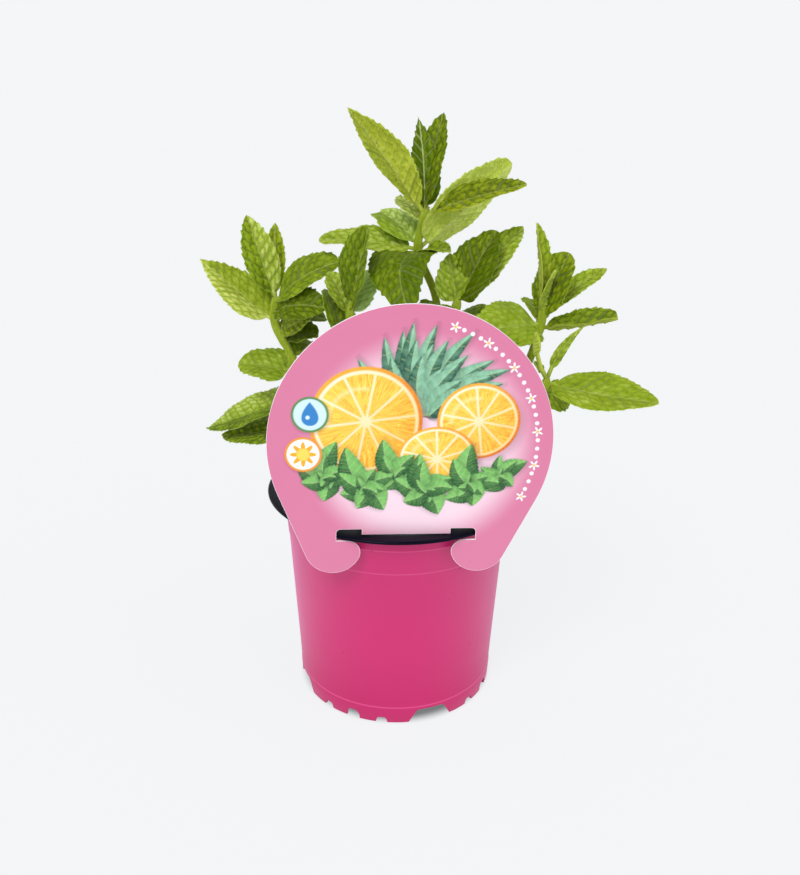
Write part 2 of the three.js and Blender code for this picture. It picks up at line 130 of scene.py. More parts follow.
STEM_HALF = 1.5
STEM_TAPER = 0.82
STEM_SIDES = 24
STALK_HALF = 0.75
STALK_THICKNESS = 1.5
STALK_SHARE = 0.09
BLADE_RISE = 0.6
BLADE_FALL = 0.8
BLADE_THICKNESS = 0.42
WAVE = 0.035
WAVE_TURN = 9
WAVE_SHIFT = 2.4
TOOTH_SPACING = 2.7
TOOTH_RISE = 0.72  # share of a tooth's length that lies before its peak
RIB_WIDTH = 0.55
RIB_DEPTH = 0.75  # how far the midrib stands out below
RIB_GROOVE = 0.25  # how deep it lies above
VEIN_SPACING = 4.2
VEIN_DEPTH = 0.1
CELL_LENGTH = 2.3
CUSHION_RISE = 0.42
HAIR_HALF = 0.035
STEM_HAIR = 1.0  # longest hair
STEM_HAIR_SHARE = 0.3  # share of the places where one could stand
LEAF_HAIR = 0.6
LEAF_HAIR_SHARE = 0.7
PAIR_GRAIN = 0.5  # mesh size of the leaves that stand in regular pairs
EDGE_ROOM = 0.01  # room that is kept to the sides of the plant's box

CAMERA_PLACE = (0.00102, -0.325, 0.2298)
CAMERA_PITCH = 20.65  # degrees below level
CAMERA_ROLL = 0.63
CAMERA_LENS = 35.47
FLOOR_REACH = 6000
PALE = (244, 246, 248)
CEILING = 0.4  # how bright the studio is above the lamps, as a share of its walls
FLOOR_GLOW = 0.885  # share of the floor's paleness that no lamp lights, so that it meets the backdrop unseen
SHADE_GLOW = 0.2  # the same share in the shade under the pot
LAMPS = (("key", 1.7, 25, 42, -24), ("fill", 0.6, 60, 55, 62))  # strength, spread, lean and direction

# ---- The plant, as in the frame, with each leaf's looks ----


def leaf(height, tip, width, roll=0, arch=0.06, fold=14, stalk=STALK_SHARE, root=BLADE_RISE,
         point=BLADE_FALL, sway=0.0, tone=0.0, split=0.0, warm=0.0, crinkle=1.0, rib=0.2, tooth=0.7,
         grain=0.34):
    """One leaf. root and point are how slender its two ends are, and sway is how far its midrib bows aside.

    Its lightness is given per leaf, partly its own colour and partly painted light and shade; split is painted
    shade that makes its right half lighter than its left; warm is how yellow it is, crinkle how quilted, rib
    how pale its veins are, tooth how deep its teeth are and grain how fine its mesh is.
    """
    return SimpleNamespace(**locals())


def pair(height, compass, length, width, rise, arch=0.12):
    """Two opposite leaves: height on the stem, compass direction of the first, length, width and rise."""
    return SimpleNamespace(**locals())


# Each stem's route as [x, y, height] from the peat's surface up, then its leaves and its regular pairs.
STEMS = {
    "stem_centre": (
        ((14, 6, 80), (16, 4, 120), (14.2, 3, 163), (7, 1, 182), (8.9, 0, 194), (9.2, 1, 198)),
        leaf(195, (-17.7, -14, 231.3), 15.5, 30, 0.035, 14, warm=0.2, grain=0.4),
        leaf(195, (6.4, 7, 228.4), 12.5, 0, 0.02, 16, root=0.4, point=0.95, sway=0.02, tone=-1.0, split=0.3,
             warm=-0.1, rib=0.6),
        leaf(196, (15.5, 10, 230), 12, 0, 0.04, 16, point=0.7, tone=-0.7, warm=0.2),
        leaf(195, (44, -14, 207), 13, 40, 0.03, 18, point=0.7, tone=-0.5, split=0.4, warm=0.5, grain=0.4),
        leaf(182, (41, 8, 212.8), 21, -60, -0.03, 12, root=0.35, point=0.45, sway=0.03, tone=0.6, split=-0.3,
             warm=-0.1, crinkle=0.7, grain=0.42),
        leaf(184, (-7.6, 20, 193.8), 23, 0, 0.04, 10, root=0.4, point=0.6, tone=0.5, split=0.7, warm=-0.3,
             grain=0.42),
        leaf(192, (0.6, 18, 200), 13, 0, 0.04, 10, tone=0.7),
        leaf(182, (-30.2, 3.5, 184.9), 18, -20, 0.04, 12, root=0.35, point=0.5, tone=0.3, crinkle=1.4,
             grain=0.42),
        leaf(181, (5, -34, 162.5), 25, 12, 0.2, 8, root=0.3, point=0.9, sway=0.1, tone=-0.9, split=0.2,
             crinkle=0.5, grain=0.38),
        leaf(180, (18.2, -18, 184.6), 11, 20, 0.06, 20, root=0.3, tone=-0.4),
        pair(141, 50, 25, 16, 2),
        pair(112, 30, 28, 18, 8),
    ),
    "stem_centre_right": (
        ((20, -16, 80), (22, -17, 120), (20.5, -14, 160), (22, -13, 168)),
        leaf(164, (35, -9, 190.5), 20, 30, 0.04, 14, root=0.3, point=0.55, tone=-1.0, split=-0.3, warm=0.2,
             crinkle=1.5),
        leaf(165, (46, 2, 190.4), 17.5, 20, 0.06, 12, point=0.9, tone=0.2, split=0.3),
        leaf(164, (18.1, -8, 182), 15, -20, 0.05, 14, root=0.35, tone=0.2, split=-0.2, warm=-0.1),
        leaf(160, (6.9, -22, 164.9), 12, 0, 0.14, 14, tone=-0.7),
        leaf(157, (37, -6, 161), 15, 0, 0.06, 10, point=0.5, tone=-0.3, crinkle=0.5),
        pair(132, 160, 22, 14, 12),
    ),
    "stem_right": (
        ((28, 3, 80), (38, 0, 110), (50, -8, 143), (53.2, -8, 157), (53.5, -8, 166)),
        leaf(158, (49.6, -8, 193.3), 10, -45, 0.02, 45, warm=0.2),
        leaf(158, (61.5, -10, 183), 17, 55, 0.05, 14, point=0.6, tone=-0.5, warm=0.2),
        leaf(160, (56, -14, 177.5), 6, 40, 0.04, 20, warm=-0.3),
        leaf(157, (49.6, 2, 164), 14, 20, 0.04, 12, point=0.6, tone=-0.2),
        leaf(160, (78.8, 4, 175.2), 10.5, 18, 0.05, 14, tone=0.1),
        leaf(155, (79.8, -16, 160.6), 13, 18, -0.03, 36, root=0.3, point=0.25, tone=-0.4, warm=0.2),
        leaf(156, (24.6, -30, 157), 22, -38, 0.06, 10, root=0.4, split=0.2, warm=-0.1, crinkle=0.3),
        pair(124, 78, 22, 15, 0),
        pair(108, 20, 23, 15, 5),
    ),
    "stem_low_right": (
        ((31, -14, 80), (40, -19, 108), (50, -25, 132), (53.6, -26, 139), (54, -26, 142)),
        leaf(139, (87.9, -49.4, 139.3), 19, 26, 0.0, 10, root=0.4, point=0.6, sway=0.02, crinkle=0.4,
             tooth=0.45),
        leaf(136, (64.9, -20, 129.7), 12.5, 60, 0.0, 10, split=-0.5, warm=0.1),
        leaf(140, (67.1, -22, 159.4), 4, 60, 0.08, 14, 0.2, root=0.35, point=1.1, sway=-0.08, tone=0.1),
        leaf(140, (48.5, -29.5, 158.4), 4.5, 0, -0.1, 14, 0.6, tone=0.2),
        leaf(140, (49.5, -22, 146), 4, 0, 0.06, 14, 0.4, tone=0.1),
        pair(114, 110, 20, 12, 20),
    ),
    "stem_left": (
        ((-22, 8, 80), (-33, 9, 112), (-43.8, 10, 140), (-49.5, 14, 151), (-49, 15, 162)),
        leaf(151, (-81, 28, 173.3), 19.5, -35, 0, 20, root=0.5, point=1.1, tone=0.3, split=-0.7, warm=0.2,
             crinkle=0.7),
        leaf(160, (-59.4, 18, 192), 14, -65, 0.04, 14, tone=0.1, split=0.8, crinkle=1.4),
        leaf(160, (-49.4, 24, 188.5), 9, 0, 0.04, 14, tone=-0.1, warm=0.4, crinkle=1.3),
        leaf(158, (-22.5, 0, 177.3), 17, 50, 0.1, 12, point=0.5, tone=-0.5, crinkle=0.4),
        leaf(154, (-27, -6, 161), 16, 50, 0.14, 14, point=0.6, tone=-0.9, warm=0.1, crinkle=1.5),
        leaf(147, (-32.4, -4, 157.5), 9, 75, 0.04, 14, tone=-0.2, warm=0.2, crinkle=1.4),
        leaf(144, (-32, 13, 147), 15, 20, 0.1, 12, point=0.5, tone=-0.6),
        leaf(149, (-29, 17, 151.5), 18, 10, 0.16, 12, point=0.5, tone=-0.8, crinkle=0.6),
        leaf(137, (-35.5, 21, 141), 15, 10, 0.2, 12, point=0.5, tone=-0.2),
        pair(120, 78, 28, 16, 4),
    ),
    "stem_centre_left": (
        ((-12, -12, 80), (-16, -14, 120), (-17.8, -14, 158), (-17.5, -13, 166)),
        leaf(160, (-10.8, -17, 192), 19, 56, 0.02, 20, point=0.45, tone=-0.7, crinkle=1.4),
        leaf(160, (-9.4, 0, 173.3), 13, 20, 0.06, 10, root=0.3, point=0.5, sway=-0.05, tone=1.5, split=-0.7,
             warm=-0.6, crinkle=0.3),
        leaf(150, (-26, -6, 168), 16, 10, 0.06, 12, root=0.45, point=0.55, sway=-0.12, tone=-0.7,
             crinkle=0.5),
        leaf(160, (-25.7, -8, 175), 10, -20, 0.06, 12, point=0.6, tone=0.3, crinkle=1.5),
        pair(134, 170, 20, 14, 10),
        pair(108, 85, 26, 16, 8),
    ),
    "stem_low_left": (
        ((-26, 4, 80), (-35, 14, 102), (-41, 20, 117), (-44, 18, 130), (-44, 17, 135)),
        leaf(129, (-67, 24, 131), 19, -30, 0.06, 10, root=0.3, point=0.6, tone=0.1, warm=-0.1, crinkle=0.8),
        leaf(119, (-85.8, 40, 96), 20, -30, 0.01, 12, root=0.28, point=0.65, sway=-0.03, tone=-0.1,
             split=1.0, warm=-0.1),
        leaf(106, (-78.6, 36, 93.5), 19, -28, 0.0, 12, tone=-0.5),
        pair(98, 60, 28, 15, 12),
    ),
    "stem_back_left": (
        ((-8, 22, 80), (-12, 27, 106), (-14, 30, 126), (-14, 31, 134)),
        pair(131, 100, 14, 8, 50),
        pair(125, 25, 25, 16, 12),
        pair(104, 130, 22, 16, 8),
    ),
    "stem_back_right": (
        ((18, 24, 80), (21, 29, 104), (24, 32, 121), (24, 33, 129)),
        pair(126, 80, 14, 8, 50),
        pair(120, 165, 25, 16, 12),
        pair(101, 70, 21, 16, 8),
    ),
}

# ---- Nodes and materials ----


def rgb(red, green, blue):
    """A colour given as screen numbers up to 255, as the linear colour that a shader takes."""
    share = np.array((red, green, blue)) / 255
    bent = np.where(share <= 0.04045, share / 12.92, ((share + 0.055) / 1.055) ** 2.4)
    return tuple(float(c) for c in bent)


def backdrop(share=1.0):
    """The studio's pale colour at a share of its brightness, as a shader takes it."""
    return (*(share * c for c in rgb(*PALE)), 1.0)


def shader_colour(colour):
    """What a node takes for a colour: a screen colour as four linear numbers, and all else as it is."""
    return (*rgb(*colour), 1.0) if isinstance(colour, tuple) and len(colour) == 3 else colour


class Nodes:
    """Nodes added to one tree. Each input is a number, a tuple or the socket that it is linked from."""

    def __init__(self, tree):
        self.tree = tree

    def fill(self, made, inputs):
        for name, value in inputs.items():
            if isinstance(value, bpy.types.NodeSocket):
                self.tree.links.new(value, made.inputs[name])
            else:
                made.inputs[name].default_value = value

    def add(self, kind, inputs, **settings):
        """The outputs of a new node."""
        made = self.tree.nodes.new("ShaderNode" + kind)
        for name, value in settings.items():
            setattr(made, name, value)
        self.fill(made, inputs)
        return made.outputs

    def maths(self, operation, first, second=0.0, clamp=False):
        return self.add("Math", {0: first, 1: second}, operation=operation, use_clamp=clamp)[0]

    def times(self, first, second):
        return self.maths("MULTIPLY", first, second)

    def minus(self, first, second, clamp=False):
        return self.maths("SUBTRACT", first, second, clamp)

    def step(self, value, low, high):
        """0 below low, 1 above high, and smooth between them."""
        inputs = {"Value": value, "From Min": low, "From Max": high}
        return self.add("MapRange", inputs, interpolation_type="SMOOTHSTEP")["Result"]

    def spread(self, value, low, high):
        """A value from 0 to 1 spread from low to high."""
        return self.add("MapRange", {"Value": value, "To Min": low, "To Max": high})["Result"]

    def mix(self, factor, first, second, how="MIX"):
        """One colour with a second mixed over it by factor."""
        inputs = {0: factor, 6: shader_colour(first), 7: shader_colour(second)}
        return self.add("Mix", inputs, data_type="RGBA", blend_type=how)[2]

    def read(self, name, output="Fac"):
        """What the mesh says under this name at each point."""
        return self.add("Attribute", {}, attribute_name=name)[output]

    def noise(self, where, scale, detail=3.0, roughness=0.5):
        inputs = {"Vector": where, "Scale": scale, "Detail": detail, "Roughness": roughness}
        return self.add("TexNoise", inputs)["Fac"]

    def places(self):
        return self.add("TexCoord", {})["Object"]

    def height(self, where):
        return self.add("SeparateXYZ", {0: where})["Z"]

    def away(self, where):
        return self.add("VectorMath", {0: where}, operation="LENGTH")["Value"]

    def bump(self, height, distance, strength):
        return self.add("Bump", {"Height": height, "Distance": distance, "Strength": strength})["Normal"]


class Skin(Nodes):
    """A material with one Principled shader, whose colour is built up in body."""

    def __init__(self, name):
        self.made = bpy.data.materials.new(name)
        self.made.use_nodes = True
        super().__init__(self.made.node_tree)
        self.body = None

    def tint(self, factor, colour, how="MIX"):
        """The body's colour with another mixed over it by factor."""
        self.body = self.mix(factor, self.body, colour, how)

    def finish(self, **inputs):
        """The material, with these inputs of its shader beside the colour."""
        inputs = {name.replace("_", " "): value for name, value in inputs.items()}
        self.fill(self.tree.nodes["Principled BSDF"], {"Base Color": self.body, **inputs})
        return self.made


def pink_plastic():
    skin = Skin("pot pink")
    where = skin.places()
    cloud = skin.noise(where, 22, 4)
    height = skin.height(where)
    # Painted shade: the pink darkens towards the pot's foot, below about 45 mm.
    skin.body = skin.mix(skin.step(height, -0.01, 0.045), (174, 2, 84), (201, 17, 104))
    skin.tint(skin.times(cloud, 0.6), (196, 14, 100))
    # Painted highlight: a thin band of lighter pink along the skirt line and each moulding line.
    for line in (SKIRT_LINE, *(ledge for ledge, _ in LEDGES)):
        off = skin.maths("ABSOLUTE", skin.minus(height, (line + 0.05) * MM))
        rubbed = skin.minus(0.45, skin.times(off, 1 / MM), clamp=True)
        skin.tint(rubbed, (236, 96, 160))
    spots = skin.add("TexVoronoi", {"Vector": where, "Scale": 95.0})["Distance"]
    speck = skin.maths("LESS_THAN", spots, 0.035)
    skin.tint(skin.times(speck, 0.6), (90, 10, 50))
    peel = skin.bump(skin.noise(where, 900, 2), 0.00004, 0.5)
    return skin.finish(Roughness=skin.spread(cloud, 0.34, 0.46), Normal=peel, IOR=1.5,
                       Sheen_Weight=0.25, Sheen_Roughness=0.4, Sheen_Tint=(1.0, 0.35, 0.8, 1.0))


def black_plastic():
    skin = Skin("pot black")
    where = skin.places()
    cloud = skin.noise(where, 60, 4)
    dust = skin.step(skin.noise(where, 420, 3), 0.62, 0.8)
    skin.body = skin.mix(cloud, (1, 0, 14), (4, 2, 26))
    skin.tint(skin.times(dust, 0.05), (90, 88, 100))
    return skin.finish(Roughness=skin.spread(cloud, 0.22, 0.4), Specular_IOR_Level=0.1,
                       Specular_Tint=(0.85, 0.8, 1.0, 1.0), Normal=skin.bump(cloud, 0.00003, 0.6))


def peat_matter():
    skin = Skin("peat")
    where = skin.places()
    crumb = skin.noise(where, 700, 6, 0.7)
    skin.body = skin.mix(skin.step(crumb, 0.35, 0.7), (28, 18, 12), (86, 60, 40))
    skin.tint(skin.noise(where, 90, 3), (52, 36, 25))
    return skin.finish(Roughness=0.95, Normal=skin.bump(crumb, 0.0004, 0.8))


def card_stock():
    """The label's white card, on its back and its cut edge."""
    skin = Skin("card white")
    fibre = skin.noise(skin.places(), 1400, 4, 0.6)
    skin.body = skin.mix(fibre, (236, 228, 232), (248, 244, 246))
    return skin.finish(Roughness=0.6, Normal=skin.bump(fibre, 0.00003, 0.5))


def label_print():
    """The label's printed face: a pink border that pales to the middle, with the painted design over it."""
    skin = Skin("label print")
    where = skin.read("card_place", "Vector")
    shifted = skin.add("VectorMath", {0: where, 1: (-4.0, -33.5, 0.0)}, operation="ADD")[0]
    border = skin.step(skin.away(shifted), 27.0, 43.0)
    skin.body = skin.mix(border, (242, 214, 227), (211, 119, 155))
    skin.tint(skin.times(skin.noise(where, 0.05, 2), 0.12), (222, 142, 176))
    skin.tint(skin.read("ink_cover"), skin.read("ink", "Color"))
    grain = skin.noise(where, 3.0, 2)
    return skin.finish(Roughness=skin.spread(grain, 0.36, 0.44), IOR=1.45,
                       Normal=skin.bump(grain, 0.00001, 0.4))


def leaf_face(name, dark, middle, light, line_shade, bulge, roughness):
    """One face of the leaves. bulge is how far its grain stands out, below 0 on the underside, and its sign
    also sets whether the cushions are painted lighter or darker.
    """
    skin = Skin(name)
    across = skin.read("leaf_across")
    number = skin.read("leaf_number")
    where = skin.add("CombineXYZ", {"X": skin.read("leaf_along"), "Y": across, "Z": number})[0]
    fine = skin.noise(where, 1.6, 3, 0.6)
    # Painted light and shade of the relief: the cushions are painted lighter on the upper face and darker on
    # the underside, and the vein lines darker by line_shade.
    lightness = skin.read("tone")
    for value, usual, weight in (
        (skin.noise(where, 0.22, 4, 0.6), 0.5, 1.6),
        (fine, 0.5, 0.8),
        (skin.read("cushion"), 0.0, math.copysign(0.5, bulge)),
        (skin.read("veins"), 0.0, line_shade),
    ):
        lightness = skin.maths("ADD", lightness, skin.times(skin.minus(value, usual), weight))
    skin.body = skin.mix(skin.step(lightness, -1.4, 0.1), dark, middle)
    skin.tint(skin.step(lightness, -0.1, 1.4), light)
    warmth = skin.read("warmth")
    red = skin.maths("ADD", 1.0, skin.times(warmth, 0.25))
    blue = skin.minus(1.0, skin.times(warmth, 0.4))
    skin.tint(1.0, skin.add("CombineXYZ", {"X": red, "Y": 1.0, "Z": blue})[0], "MULTIPLY")
    midrib = skin.minus(1.0, skin.step(skin.maths("ABSOLUTE", across), 0.1, 0.4))
    pale = skin.maths("MAXIMUM", midrib, skin.times(skin.read("branches"), 0.7))
    skin.tint(skin.times(pale, skin.read("rib")), (214, 222, 150))
    return skin.finish(Roughness=roughness, Specular_IOR_Level=0.05, Subsurface_Weight=0.3,
                       Subsurface_Scale=0.001, Subsurface_Radius=(0.6, 1.0, 0.1),
                       Normal=skin.bump(fine, bulge * MM, 1.0))


def stem_skin():
    skin = Skin("stem skin")
    where = skin.places()
    stretched = skin.add("Mapping", {"Vector": where, "Scale": (1.0, 1.0, 0.12)})[0]
    streak = skin.noise(stretched, 1500, 3)
    skin.body = skin.mix(streak, (112, 134, 8), (166, 182, 50))
    skin.body = skin.mix(skin.step(skin.height(where), 0.08, 0.13), (122, 104, 58), skin.body)
    return skin.finish(Roughness=0.5, Specular_IOR_Level=0.15, Subsurface_Weight=0.2,
                       Subsurface_Scale=0.001, Normal=skin.bump(streak, 0.00012, 0.7))


def hair_skin():
    skin = Skin("plant hair")
    skin.body = skin.mix(skin.noise(skin.places(), 400, 2), (196, 212, 130), (226, 234, 186))
    return skin.finish(Roughness=0.4, Subsurface_Weight=0.2, Subsurface_Scale=0.0005)


# ---- Meshes ----


def put(name, data):
    made = bpy.data.objects.new(name, data)
    bpy.context.scene.collection.objects.link(made)
    return made


def mesh_object(name, points, polygons, materials, slots=None, smooth=True, values=None):
    """An object from points in millimetres and a list of polygon arrays, each array of one corner count.

    values are named numbers, places or colours, one at each point.
    """
    mesh = bpy.data.meshes.new(name)
    corners = np.concatenate([p.ravel() for p in polygons]).astype(np.int32)
    counts = np.concatenate([np.full(len(p), p.shape[1]) for p in polygons]).astype(np.int32)
    mesh.vertices.add(len(points))
    mesh.vertices.foreach_set("co", (np.asarray(points) * MM).astype(np.float32).ravel())
    mesh.loops.add(len(corners))
    mesh.loops.foreach_set("vertex_index", corners)
    mesh.polygons.add(len(counts))
    mesh.polygons.foreach_set("loop_start", np.concatenate(([0], np.cumsum(counts)[:-1])).astype(np.int32))
    mesh.polygons.foreach_set("use_smooth", np.full(len(counts), smooth))
    if slots is not None:
        mesh.polygons.foreach_set("material_index", np.asarray(slots, np.int32))
    kinds = {1: ("FLOAT", "value"), 3: ("FLOAT_VECTOR", "vector"), 4: ("FLOAT_COLOR", "color")}
    for value_name, data in (values or {}).items():
        kind, field = kinds[data.size // len(points)]
        layer = mesh.attributes.new(value_name, kind, "POINT")
        layer.data.foreach_set(field, data.astype(np.float32).ravel())
    mesh.update()
    mesh.validate()
    for material in materials:
        mesh.materials.append(material)
    return put(name, mesh)


def settle(piece, slot, *nodes):
    """The piece rides on the plant's one body and stands for these nodes. slot is not used."""
    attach(piece, "root")
    if nodes:
        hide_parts(*nodes)


def unit(vectors):
    """One vector or many, each brought to a length of 1."""
    return vectors / np.linalg.norm(vectors, axis=-1, keepdims=True)


def circle(sides):
    return np.linspace(0, 2 * pi, sides, endpoint=False)


def heading(degrees):
    """The two parts of a step of 1 in this direction."""
    return cos(radians(degrees)), sin(radians(degrees))


def arc(centre, radius, first, last, steps=5):
    """Points on an arc by its centre and radius, from a first to a last direction in degrees."""
    return [(centre[0] + radius * cos(a), centre[1] + radius * sin(a))
            for a in np.radians(np.linspace(first, last, steps))]


def turn(points, degrees):
    """Points turned about the Z axis."""
    c, s = heading(degrees)
    x, y, z = np.asarray(points, float).T
    return np.stack([c * x - s * y, s * x + c * y, z], 1)


def ring_faces(rings, count):
    """Quads between neighbouring rings of count points each."""
    i, j = np.meshgrid(np.arange(rings - 1), np.arange(count), indexing="ij")
    a = i * count + j
    b = i * count + (j + 1) % count
    return np.stack([a, b, b + count, a + count], -1).reshape(-1, 4)


def turned_body(name, radius, height, ends, materials):
    """A body of rings round the Z axis, by its points' radius and height, closed at both ends."""
    rings, count = height.shape
    angles = circle(count)
    points = np.stack([radius * np.cos(angles), radius * np.sin(angles), height], -1).reshape(-1, 3)
    points = np.vstack([points, [(0, 0, end) for end in ends]])
    j = np.arange(count)
    k = (j + 1) % count
    last = (rings - 1) * count
    end = last + count + 0 * j
    fans = np.concatenate([np.stack([k, j, end], 1), np.stack([last + j, last + k, end + 1], 1)])
    return mesh_object(name, points, [ring_faces(rings, count), fans], materials)


# ---- Pot ----


def wall_radius(height):
    return FOOT_RADIUS + (RIM_RADIUS - FOOT_RADIUS) * height / FLANGE_BOTTOM


def wall_inside(height):
    return wall_radius(height) - WALL


def pot_profile():
    """The pot's section as [radius, height], from the axis under the base panel to the axis above it."""
    under = wall_inside(PANEL_BOTTOM)
    line = [(0.0, PANEL_BOTTOM), (under - 0.6, PANEL_BOTTOM), (under, PANEL_BOTTOM - 0.6)]
    line += arc((wall_inside(0) + FOOT_EASE, FOOT_EASE), FOOT_EASE, 180, 270)
    line += arc((FOOT_RADIUS - FOOT_EASE, FOOT_EASE), FOOT_EASE, -90, 0)
    line.append((wall_radius(SKIRT_LINE - 0.5), SKIRT_LINE - 0.5))
    line.append((wall_radius(SKIRT_LINE) - 0.22, SKIRT_LINE + 0.1))
    setback = sum(step for _, step in LEDGES) - RIM_PROUD
    line.append((wall_radius(20) - setback, 20))
    for height, step in LEDGES:
        line.append((wall_radius(height) - setback, height - 0.25))
        setback -= step
        line.append((wall_radius(height) - setback, height + 0.15))
    below = FLANGE_BOTTOM - FLANGE_EASE
    line += [(wall_radius(below), below), *arc((RIM_RADIUS + FLANGE_EASE, below), FLANGE_EASE, 180, 90)]
    half = (FLANGE_TOP - FLANGE_BOTTOM) / 2
    line += arc((FLANGE_RADIUS - half, (FLANGE_BOTTOM + FLANGE_TOP) / 2), half, -90, 90, 9)
    line += arc((wall_inside(FLANGE_TOP) + LIP_EASE, FLANGE_TOP - LIP_EASE), LIP_EASE, 90, 180)
    line += [(wall_inside(60), 60), (wall_inside(30), 30)]
    line += arc((wall_inside(PANEL_TOP) - PANEL_EASE, PANEL_TOP + PANEL_EASE), PANEL_EASE, 0, -90)
    return np.array([*line, (0.0, PANEL_TOP)])


def extruded(outline, depth):
    """A closed solid from an outline of [across, up] points, pushed out along -Y."""
    made = bmesh.new()
    face = made.faces.new([made.verts.new((x * MM, 0, y * MM)) for x, y in outline])
    moved = bmesh.ops.extrude_face_region(made, geom=[face])["geom"]
    moved = [part for part in moved if isinstance(part, bmesh.types.BMVert)]
    bmesh.ops.translate(made, vec=(0, -depth * MM, 0), verts=moved)
    bmesh.ops.recalc_face_normals(made, faces=made.faces)
    return made


def notch(corners, steps=4):
    """A cutter for one notch, with the corners above the ground rounded off."""
    outline = []
    for before, here, after in zip(corners[-1:] + corners[:-1], corners, corners[1:] + corners[:1]):
        before, here, after = (np.array(p, float) for p in (before, here, after))
        if here[1] <= 0:
            outline.append(tuple(here))
            continue
        cut = min(NOTCH_EASE, np.linalg.norm(before - here) / 2.2, np.linalg.norm(after - here) / 2.2)
        first, last = here + cut * unit(before - here), here + cut * unit(after - here)
        for t in np.linspace(0, 1, steps):
            outline.append(tuple((1 - t) ** 2 * first + 2 * t * (1 - t) * here + t**2 * last))
    return extruded(outline, NOTCH_DEPTH)


def cutters():
    """The notches and the drain holes as one object."""
    whole = bmesh.new()

    def add(part, place, degrees):
        part.transform(Matrix.Rotation(radians(degrees), 4, "Z") @ Matrix.Translation(Vector(place) * MM))
        spare = bpy.data.meshes.new("cutter")
        part.to_mesh(spare)
        part.free()
        whole.from_mesh(spare)
        bpy.data.meshes.remove(spare)

    inward = (0, NOTCH_DEPTH / 2 - FOOT_RADIUS, 0)
    for quarter in range(4):
        degrees = FIRST_NOTCH + 90 * quarter
        add(notch(WIDE_NOTCH), inward, degrees)
        add(notch(ARCH_NOTCH), inward, degrees + ARCH_TURN)
        for side in (-SMALL_TURN, SMALL_TURN):
            add(notch(SMALL_NOTCH), inward, degrees + ARCH_TURN + side)
    for hole in range(DRAIN_COUNT):
        drain = extruded(arc((0, 0), DRAIN_RADIUS, 0, 360, 33)[:-1], 4 * WALL)
        drain.transform(Matrix.Rotation(pi / 2, 4, "X"))
        add(drain, (DRAIN_CIRCLE, 0, PANEL_TOP + 1.5 * WALL), 360 * (hole + 0.5) / DRAIN_COUNT)
    mesh = bpy.data.meshes.new("cutters")
    whole.to_mesh(mesh)
    whole.free()
    return put("cutters", mesh)


def build_pot():
    profile = pot_profile()
    radius, height = profile[1:-1, :1], profile[1:-1, 1:] + np.zeros(POT_SIDES)
    shell = turned_body("pot_shell", radius, height, profile[[0, -1], 1], [])
    tool = cutters()
    cut = shell.modifiers.new("cut", "BOOLEAN")
    cut.operation, cut.solver, cut.object = "DIFFERENCE", "EXACT", tool
    evaluated = shell.evaluated_get(bpy.context.evaluated_depsgraph_get())
    mesh = bpy.data.meshes.new_from_object(evaluated)
    bpy.data.objects.remove(shell)
    bpy.data.objects.remove(tool)
    mesh.materials.clear()
    mesh.materials.append(pink_plastic())
    mesh.materials.append(black_plastic())
    for face in mesh.polygons:
        x, y, z = face.center / MM
        away = math.hypot(x, y)
        outward = (face.normal.x * x + face.normal.y * y) / max(away, 1)
        is_wall = outward > 0.6 and abs(away - wall_radius(z)) < 1 and z < FLANGE_BOTTOM - 0.5
        is_cut = outward > -0.4 and away > wall_inside(z) + 0.1 and z < SKIRT_LINE
        face.material_index = 0 if is_wall or is_cut else 1
        face.use_smooth = True
    mesh.set_sharp_from_angle(angle=radians(35))
    settle(put("nursery_pot", mesh), "pot_plastic", "pot")


# ---- Peat ----


def peat_level(x, y, rim):
    """Height of the peat's plain surface, with its lumps."""
    inward = np.clip(1 - np.hypot(x, y) / rim, 0, 1)
    lumps = 0.5 * np.sin(0.55 * x + 1) * np.cos(0.6 * y) + 0.3 * np.sin(0.9 * y + 0.4 * x)
    return SOIL_TOP + SOIL_CROWN * (1 - (1 - inward) ** 2) + lumps * np.minimum(1, 6 * inward)


def crumbs(rim):
    """Small seeded lumps and fibres strewn over the peat, as points and triangles."""
    ball = bmesh.new()
    bmesh.ops.create_icosphere(ball, subdivisions=1, radius=1)
    shape = np.array([v.co for v in ball.verts])
    faces = np.array([[v.index for v in f.verts] for f in ball.faces])
    ball.free()
    points, triangles = [], []
    for i in range(CRUMB_COUNT):
        away = rim * math.sqrt(rng.uniform(0, 0.98))
        angle = rng.uniform(0, 2 * pi)
        x, y = away * cos(angle), away * sin(angle)
        size = rng.uniform(0.25, 0.9)
        stretch = rng.uniform(0.6, 1.3, 3) * (1, 1, 0.7)
        if i % 9 == 0:
            size, stretch = 0.3, np.array((rng.uniform(4, 9), 0.8, 0.8))
        lump = turn(shape * stretch * size * rng.uniform(0.8, 1.2, (len(shape), 1)), rng.uniform(0, 360))
        lump += (x, y, float(peat_level(x, y, rim)) + 0.2 * size)
        over = np.hypot(lump[:, 0], lump[:, 1]) / (rim - 0.2)
        lump[:, :2] /= np.maximum(over, 1)[:, None]
        triangles.append(faces + len(shape) * i)
        points.append(lump)
    return np.concatenate(points), np.concatenate(triangles)


def build_peat():
    rim = wall_inside(SOIL_TOP) - GAP
    bottom = PANEL_TOP + GAP
    sides, steps = 96, 44
    angles = circle(sides)
    shares = np.linspace(1, 1 / steps, steps)[:, None]
    x, y = shares * rim * np.cos(angles), shares * rim * np.sin(angles)
    grain = rng.uniform(-0.28, 0.28, x.shape) * np.minimum(1, 8 * (1 - shares))
    radius = np.vstack([[[wall_inside(bottom) - GAP]], shares * rim])
    height = np.vstack([np.full(sides, bottom), peat_level(x, y, rim) + grain])
    matter = peat_matter()
    fill = turned_body("peat_fill", radius, height, (bottom, peat_level(0.0, 0.0, rim)), [matter])
    settle(fill, "peat", "peat")
    lumps, triangles = crumbs(rim)
    settle(mesh_object("peat_crumbs", lumps, [triangles], [matter], smooth=False), "peat", "peat")


# ---- Label ----


